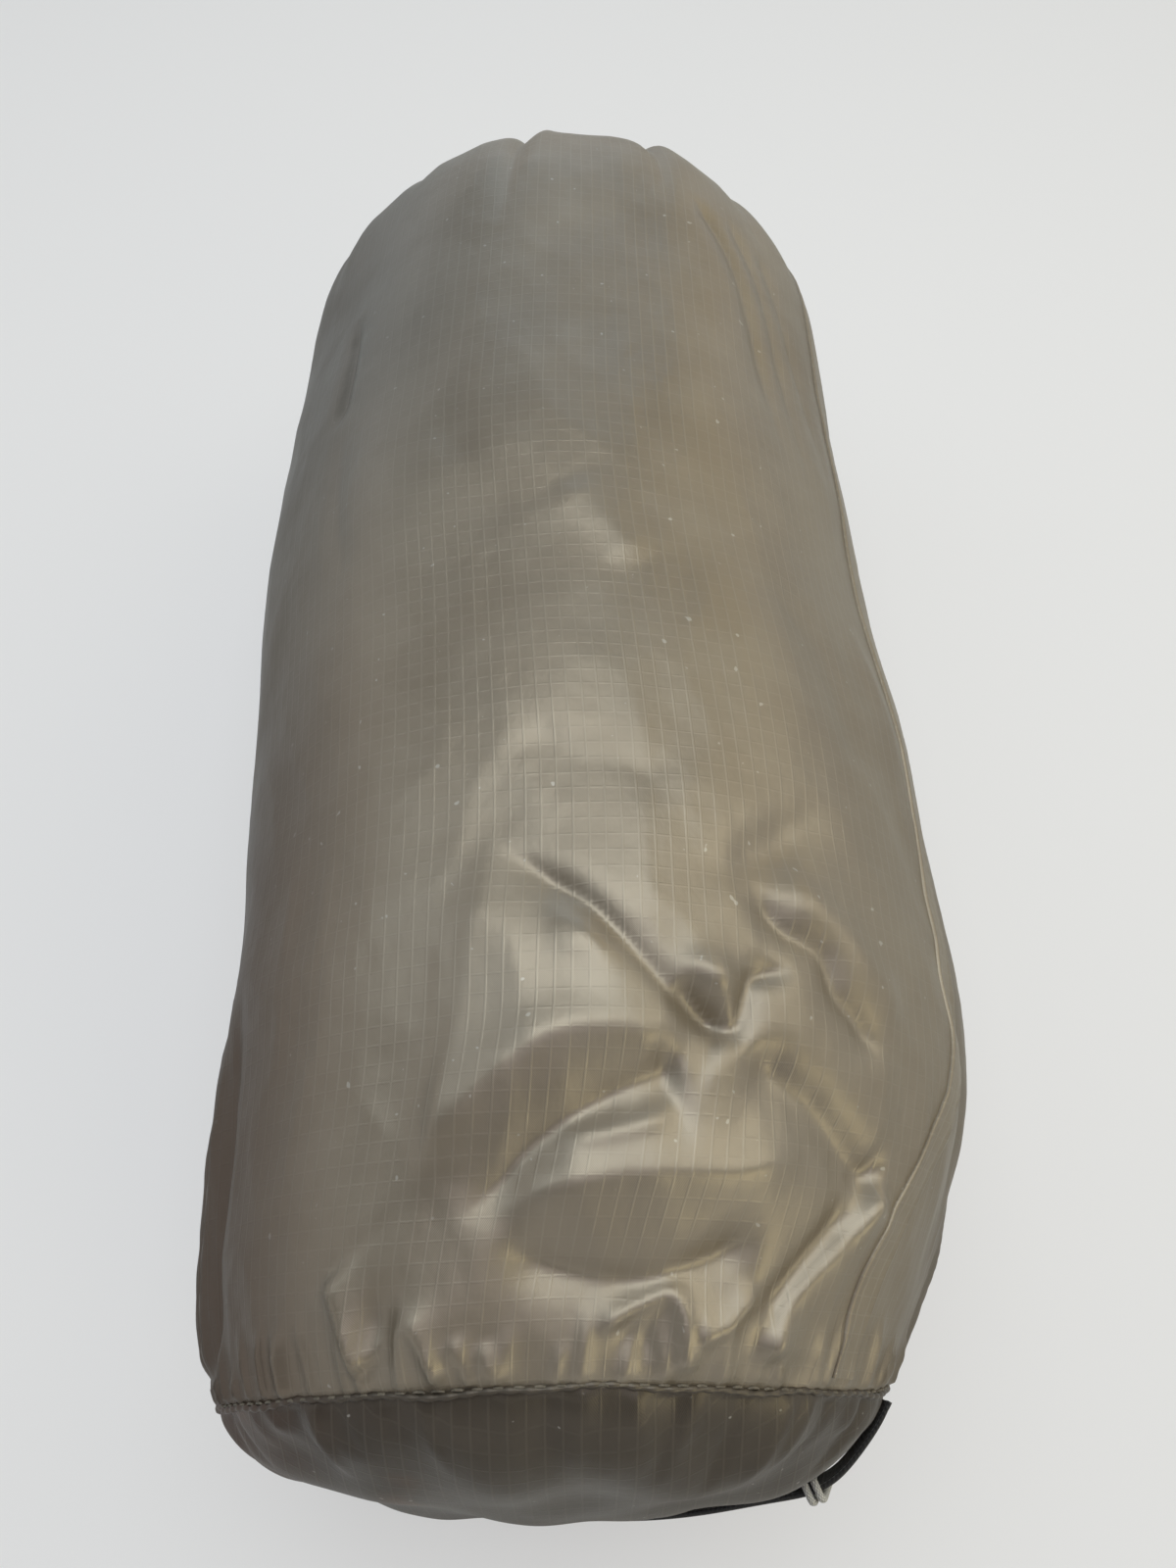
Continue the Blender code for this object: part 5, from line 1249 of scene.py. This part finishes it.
def make_strap():
    """The webbing strap in two halves, each sewn in at one end."""
    webbing = webbing_paint("black_webbing", (0.010, 0.010, 0.011), (0.040, 0.040, 0.042))
    around = 28
    angle = math.tau * np.arange(around) / around
    wide = 0.5 + np.sign(np.cos(angle)) * np.abs(np.cos(angle)) ** 0.35 * 0.5
    high = WEBBING_THICKNESS * (0.5 + np.sign(np.sin(angle)) * np.abs(np.sin(angle)) ** 0.55 * 0.5)
    halves = (("right", HANDLE_START, HANDLE_FREE),
              ("left", math.pi - HANDLE_START, math.pi - HANDLE_FREE))
    for side, sewn, free in halves:
        turn = np.linspace(sewn, math.pi / 2, 90)
        points = handle_point(turn[:, None], wide[None, :], high[None, :])
        if side == "left":
            points = points[:, ::-1]
        points = np.concatenate([points[:1].mean(axis=1, keepdims=True).repeat(around, 1), points,
                                 points[-1:].mean(axis=1, keepdims=True).repeat(around, 1)])
        ring = np.concatenate([points[40], points[40][:1]])
        half = grid_object("grab_handle_" + side, points, True, travelled(ring),
                           travelled(points.mean(axis=1)))
        half.data.materials.append(webbing)
        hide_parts("grab_handle")
        tuple(handle_point(sewn, 0.5))
        tuple(handle_point(free, 0.5))
        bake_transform(half)


def make_hitch():
    """The white cord that goes twice round the strap."""
    core = WEBBING_THICKNESS / 2
    ahead = unit(handle_point(HITCH_PLACE + 0.02, 0.5, core) - handle_point(HITCH_PLACE, 0.5, core))
    across = handle_point(HITCH_PLACE, 1, core) - handle_point(HITCH_PLACE, 0, core)
    outward = unit(np.cross(ahead, across))
    per_turn = 60
    step = np.arange(per_turn * HITCH_TURNS + 1)
    wide, high = oval(math.tau * step / per_turn, WEBBING_WIDTH / 2 + GAP + HITCH_CORD / 2,
                      core + GAP + HITCH_CORD / 2, HITCH_POWER)
    shift = HITCH_PITCH * (step / per_turn - HITCH_TURNS / 2)
    points = (handle_point(HITCH_PLACE, 0.5 + wide / WEBBING_WIDTH, core)
              + outward * high[:, None] + ahead * shift[:, None])
    points = spline(points[::3], 220)
    wrap = tube("handle_cord_white", points, HITCH_CORD / 2 * HITCH_SWELL, 14)
    braid = braid_paint("white_braid", (0.80, 0.79, 0.75), (0.45, 0.44, 0.41), 0.0007, 8)
    finish_piece(wrap, braid, "handle_cord_wrap", "handle")


# Mouth, drawcord and cord lock

def in_frame(points):
    """From places measured from the base seam, as the solids' are, to the frame's."""
    return np.asarray(points, float) + np.array([SIDEWAYS, SEAM_Y, 0.0])


def make_mouth_hem():
    """The gathered hem: a fat ring of bunched cloth with a lobe for each pleat and finer tucks."""
    columns, rows = 336, 40
    angle = math.tau * np.arange(columns) / columns
    turn = math.tau * np.arange(rows) / rows
    lobes = HEM_LOBE * np.cos(PLEATS * (angle - PLEAT_CREST))
    tucks = (0.055 * np.cos(PLEATS * 2 * (angle - PLEAT_CREST) + 0.8 * np.sin(angle * 3))
             + 0.040 * np.cos(angle * 45 + 2 * np.sin(angle * 2)))
    outer = 0.5 + 0.5 * np.cos(turn)
    swell = 1 + lobes[:, None] + tucks[:, None] * (0.4 + outer[None, :])
    thickness = HEM_THICKNESS / 2 * swell * (1 - 0.05 * np.cos(3 * turn + 1))[None, :]
    reach = HEM_RADIUS + thickness * np.cos(turn)[None, :]
    twist = 0.07 * np.sin(PLEATS * angle + 1.3)[:, None] * np.sin(turn)[None, :]
    around = angle[:, None] + twist
    points = in_frame(np.stack([MOUTH_LEAN + reach * np.cos(around),
                                HEM_Y + thickness * np.sin(turn)[None, :],
                                AXIS_HEIGHT + reach * np.sin(around)], axis=-1))
    points = np.concatenate([points, points[:1]])
    item = grid_object("mouth_hem_cloth", points, True, np.arange(rows + 1) / rows * 0.0314,
                       np.arange(columns + 1) / columns * 0.085)
    paint = ripstop("hem_ripstop", TAUPE, TAUPE_LIGHT, TAUPE_DARK, 0.0029, 0.0027, 0.35)
    finish_piece(item, paint, "mouth_hem")


def drawcord_points():
    """From the knot through the lock, round the hem's channel and back, as in the solids."""
    centre = np.array([MOUTH_LEAN, HEM_Y, AXIS_HEIGHT])
    opening = math.radians(50)
    angle = -math.pi / 2 - opening - (math.tau - 2 * opening) * np.arange(23) / 22
    turns = centre + HEM_RADIUS * np.stack([np.cos(angle), 0 * angle, np.sin(angle)], axis=-1)
    x = MOUTH_LEAN - STRAND_SPACING / 2
    straight = np.array([x, HEM_Y + HEM_HALF + GAP, STRAND_Z])
    end = np.array([x, KNOT_Y - KNOT_DEPTH - GAP, STRAND_Z])
    pull = 0.0042
    t = np.linspace(0, 1, 8)[:, None]
    lead = ((1 - t) ** 3 * straight + 3 * (1 - t) ** 2 * t * (straight - (0, pull, 0))
            + 3 * (1 - t) * t * t * (turns[0] + unit(turns[0] - turns[1]) * pull)
            + t ** 3 * turns[0])
    first = np.vstack([end, end * 0.66 + straight * 0.34, end * 0.33 + straight * 0.67, lead[:-1]])
    mirror = first[::-1] * (-1, 1, 1) + (2 * MOUTH_LEAN, 0, 0)
    return np.vstack([first, turns, mirror])


def make_drawcord():
    """The braided cord and its knot of three crossing turns."""
    braid = braid_paint("drawcord_braid", (0.060, 0.055, 0.048), (0.014, 0.013, 0.012), 0.0016, 8)
    item = tube("drawcord_braided", spline(in_frame(drawcord_points()), 260), CORD_DIAMETER / 2, 18)
    finish_piece(item, braid, "drawcord")
    t = math.tau * np.arange(150) / 150
    reach = KNOT_RADIUS + KNOT_WAVE * np.cos(3 * t)
    knot = in_frame(np.stack([MOUTH_LEAN + reach * np.cos(2 * t),
                              KNOT_Y + KNOT_WAVE * np.sin(3 * t),
                              STRAND_Z + reach * np.sin(2 * t)], axis=-1))
    finish_piece(tube("drawcord_knot_braided", knot, CORD_DIAMETER / 2, 18, True),
                 braid, "drawcord_knot")


def make_spring():
    """The cord lock's spring: a coil of wire."""
    low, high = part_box("cord_lock_spring")
    wire = SPRING_WIRE
    middle, reach = (low + high) / 2, (high.x - low.x - wire) / 2
    turn = np.linspace(0, SPRING_TURNS * math.tau, 180)
    rise = np.linspace(low.z + wire / 2, high.z - wire / 2, len(turn))
    points = np.stack([MOUTH_LEAN + SIDEWAYS + reach * np.cos(turn),
                       middle.y + reach * np.sin(turn), rise], axis=-1)
    item = tube("cord_lock_spring_wire", points, wire / 2, 10)
    steel = metal_paint("spring_wire", (0.55, 0.55, 0.56), 0.30, (1.0, 1.0, 1.0))
    finish_piece(item, steel, "cord_lock_spring", "cord_lock")
    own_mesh(item)


# Rolls and bags inside

def core_outline(y, angle):
    """The oval that the two bags need."""
    x, z = oval(angle, *CORE_OVAL)
    return np.stack([CORE_X + x, AXIS_HEIGHT + z], axis=-1)


def inner_roll_outline(spare):
    """The round outside of the inner tent's roll, flattened a little below."""
    def outline(y, angle):
        drop = np.where(np.sin(angle) < 0, INNER_ROLL_FLATNESS, 1.0)
        return np.stack([CORE_X + (INNER_ROLL_RADIUS + spare) * np.cos(angle),
                         AXIS_HEIGHT + (INNER_ROLL_RADIUS + spare) * drop * np.sin(angle)], axis=-1)
    return outline


def fly_outline(y, angle):
    """The inside of the sack's cloth, under its folds."""
    degrees = np.degrees(angle)
    along = np.full(len(angle), np.interp(y, PROFILE[1], PROFILE[0]) / MM)
    sink = np.minimum(sink_at(degrees, along), 0.0) - 1.9
    return sack_point(degrees, along, sink, 0.0016)[:, [0, 2]] - (SIDEWAYS, 0)


def rolled(name, ends, inner, outer, paint):
    """Cloth rolled up: one strip, many layers thick, that winds outwards with rounded ends."""
    per_turn = 96
    count = ROLL_TURNS * per_turn
    pitch = 1 / (ROLL_TURNS + ROLL_FILL)
    step = np.arange(count + 1)
    angle = math.tau * step / per_turn
    close = ((0.0, 0.42), (0.0003, 0.25), (0.0012, 0.10), (0.0028, 0.03), (0.0045, 0.0))
    stations = [(ends[0] + far, edge) for far, edge in close]
    stations += [(y, 0.0) for y in np.linspace(ends[0], ends[1], 42)[1:-1]]
    stations += [(ends[1] - far, edge) for far, edge in reversed(close)]
    rows = []
    for y, edge in stations:
        low, high = inner(y, angle), outer(y, angle)
        slack = 0.012 * np.sin(5 * angle + 40 * y) + 0.008 * np.sin(9 * angle - 75 * y)
        sides = []
        for share in (edge, ROLL_FILL - edge):
            t = pitch * (step / per_turn + share)
            t = t + slack * 4 * t * (1 - t)
            sides.append(low + (high - low) * t[:, None])
        loop = np.vstack([sides[0], sides[1][::-1]])
        rows.append(np.column_stack([loop[:, 0], np.full(len(loop), y), loop[:, 1]]))
    points = in_frame(np.array(rows))
    columns = points.shape[1]
    faces = grid_faces(len(stations), columns, True)
    here = np.arange(count)
    cap = np.stack([here, here + 1, columns - 2 - here, columns - 1 - here], axis=-1)
    last = (len(stations) - 1) * columns
    faces = np.vstack([faces, cap[:, ::-1], cap + last])
    item = make_object(name + "_cloth", points.reshape(-1, 3), faces)
    finish_piece(item, paint, name)


def make_rolls():
    """The inner tent rolled round the bags, and the rainfly rolled round it."""
    rolled("inner_tent_roll", INNER_ROLL_ENDS, core_outline, inner_roll_outline(0.0),
           cloth_paint("inner_tent_weave", (0.58, 0.57, 0.53), (0.40, 0.39, 0.36)))
    rolled("rainfly_roll", FLY_ENDS, inner_roll_outline(0.0005), fly_outline,
           cloth_paint("fly_weave", (0.42, 0.38, 0.28), (0.28, 0.25, 0.18), 0.5))


def make_bag(name, bag, colour, dark):
    """A flat sleeve of thin cloth, closed at its base end, with a folded hem at its open end."""
    start, end, half_width, half_height, power, height = bag
    count = 96
    angle = math.tau * np.arange(count) / count
    close = np.linspace(0, math.pi / 2, 8)
    along = np.concatenate([start + BAG_CLOSE * (1 - np.cos(close)),
                            np.linspace(start + BAG_CLOSE, end - BAG_HEM_PLACES[0], 60)[1:],
                            end - BAG_HEM_PLACES[1:]])
    scale = np.concatenate([np.sin(close), np.ones(len(along) - len(close))])
    outer = []
    for number, (y, share) in enumerate(zip(along, scale)):
        x, z = oval(angle, half_width, half_height, power)
        slack = 0.00005 * (np.sin(7 * angle + 90 * y) + np.sin(4 * angle - 140 * y) - 2)
        hem = BAG_HEM if number >= len(along) - 2 else 0.0
        shrink = share * (1 + (slack + hem) / half_height)
        outer.append(np.stack([CORE_X + x * shrink, np.full(count, y), height + z * shrink],
                              axis=-1))
    inner = []
    for points, share in zip(outer[::-1], scale[::-1]):
        pulled = points.copy()
        middle = np.array([CORE_X, 0, height])
        flat = (points - middle) * (1, 0, 1)
        size = np.linalg.norm(flat, axis=1, keepdims=True)
        pulled -= flat * np.minimum(BAG_WALL / np.maximum(size, 1e-6), 1.0)
        pulled[:, 1] = np.maximum(points[:, 1], start + BAG_WALL + (1 - share) * 0.0002)
        inner.append(pulled)
    points = in_frame(np.array(outer + inner))
    item = grid_object(name + "_cloth", points, True, flip=True)
    paint = cloth_paint(name + "_weave", colour, dark, 0.6)
    finish_piece(item, paint, name)


def make_bags():
    make_bag("pole_bag", POLE_BAG, (0.235, 0.230, 0.205), (0.155, 0.150, 0.135))
    make_bag("stake_bag", STAKE_BAG, (0.27, 0.26, 0.235), (0.18, 0.175, 0.155))


# Cords inside

def make_shock_cords():
    """The elastic cords that run through the poles' sections and round each fold."""
    braid = braid_paint("elastic_braid", (0.62, 0.60, 0.56), (0.20, 0.19, 0.18), 0.0012, 10)
    for title, pole in POLES.items():
        places = [np.array([CORE_X + TUBE_PITCH * along, POLE_BAG[-1] + ROW_PITCH * (row - 1.5)])
                  for along, row in pole]
        points = [(places[0][0], SHOCK_CORD_START, places[0][1])]
        for number, (here, after) in enumerate(zip(places, places[1:])):
            way = 1 if number % 2 == 0 else -1
            level = SECTION_ENDS[1 if way > 0 else 0] + way * SHOCK_CORD_BEND
            middle, side = (here + after) / 2, (here - after) / 2
            ahead = points[-1][1]
            for y in np.linspace(ahead, level, 24)[1:-1]:
                points.append((here[0], y, here[1]))
            for turn in np.linspace(0, math.pi, 13):
                flat = middle + side * math.cos(turn)
                out = way * np.linalg.norm(side) * math.sin(turn)
                points.append((flat[0], level + out, flat[1]))
        for y in np.linspace(points[-1][1], SHOCK_CORD_START, 24)[1:]:
            points.append((places[-1][0], y, places[-1][1]))
        name = "shock_cord_" + title
        item = tube(name + "_braided", in_frame(points), SHOCK_CORD_DIAMETER / 2 * CORD_EASE, 12)
        finish_piece(item, braid, name)


def make_hank():
    """The guy line, wound round and round in one flat hank."""
    turn_radius = (HANK_THICKNESS - GUY_LINE_DIAMETER) / 2
    reach = (HANK_LENGTH - GUY_LINE_DIAMETER) / 2 - turn_radius
    points = []
    for half in range(2 * HANK_LOOPS):
        way = 1 if half % 2 == 0 else -1
        x = HANK_PITCH * (half / 2 - (HANK_LOOPS - 0.5) / 2)
        for turn in np.linspace(-math.pi / 2, math.pi / 2, 6):
            points.append((x, way * (reach + turn_radius * math.cos(turn)),
                           way * turn_radius * math.sin(turn)))
    points = spline(in_frame(np.array(points) + HANK_CENTRE), 1100)
    item = tube("guyline_hank_braided", points, GUY_LINE_DIAMETER / 2 * HANK_EASE, 12)
    braid = braid_paint("guy_line_braid", (0.66, 0.60, 0.30), (0.30, 0.27, 0.14), 0.0014, 8)
    finish_piece(item, braid, "guyline_hank")


def paint_nodes():
    """Better materials for the solids whose shape stays."""
    tube_metal = metal_paint("pole_anodised", (0.62, 0.60, 0.56), 0.30, (1.0, 0.05, 1.0))
    tip_metal = metal_paint("tip_machined", (0.70, 0.70, 0.71), 0.25, (1.0, 0.4, 1.0))
    stake_metal = metal_paint("stake_anodised", (0.64, 0.31, 0.10), 0.36, (1.0, 0.06, 1.0))
    hub = moulded_paint("hub_moulded", (0.030, 0.030, 0.032), 0.42)
    lock = moulded_paint("lock_moulded", (0.012, 0.012, 0.013), 0.40)
    button = moulded_paint("button_moulded", (0.022, 0.022, 0.023), 0.46)
    tensioner = moulded_paint("tensioner_moulded", (0.55, 0.20, 0.04), 0.40)
    chosen = (("pole_section", tube_metal), ("repair_sleeve", tube_metal), ("pole_tip", tip_metal),
              ("stake_", stake_metal), ("pole_hub", hub), ("cord_lock_barrel", lock),
              ("cord_lock_plunger", button), ("line_tensioner", tensioner))
    for name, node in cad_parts.items():
        for start, paint in chosen:
            if name.startswith(start) and not name.startswith("stake_bag"):
                for slot in node.material_slots:
                    slot.material = paint


make_camera()
make_studio()
make_sack()
make_base()
make_base_seam()
make_side_seam()
make_strap()
make_hitch()
make_mouth_hem()
make_drawcord()
make_spring()
make_rolls()
make_bags()
make_shock_cords()
make_hank()
paint_nodes()
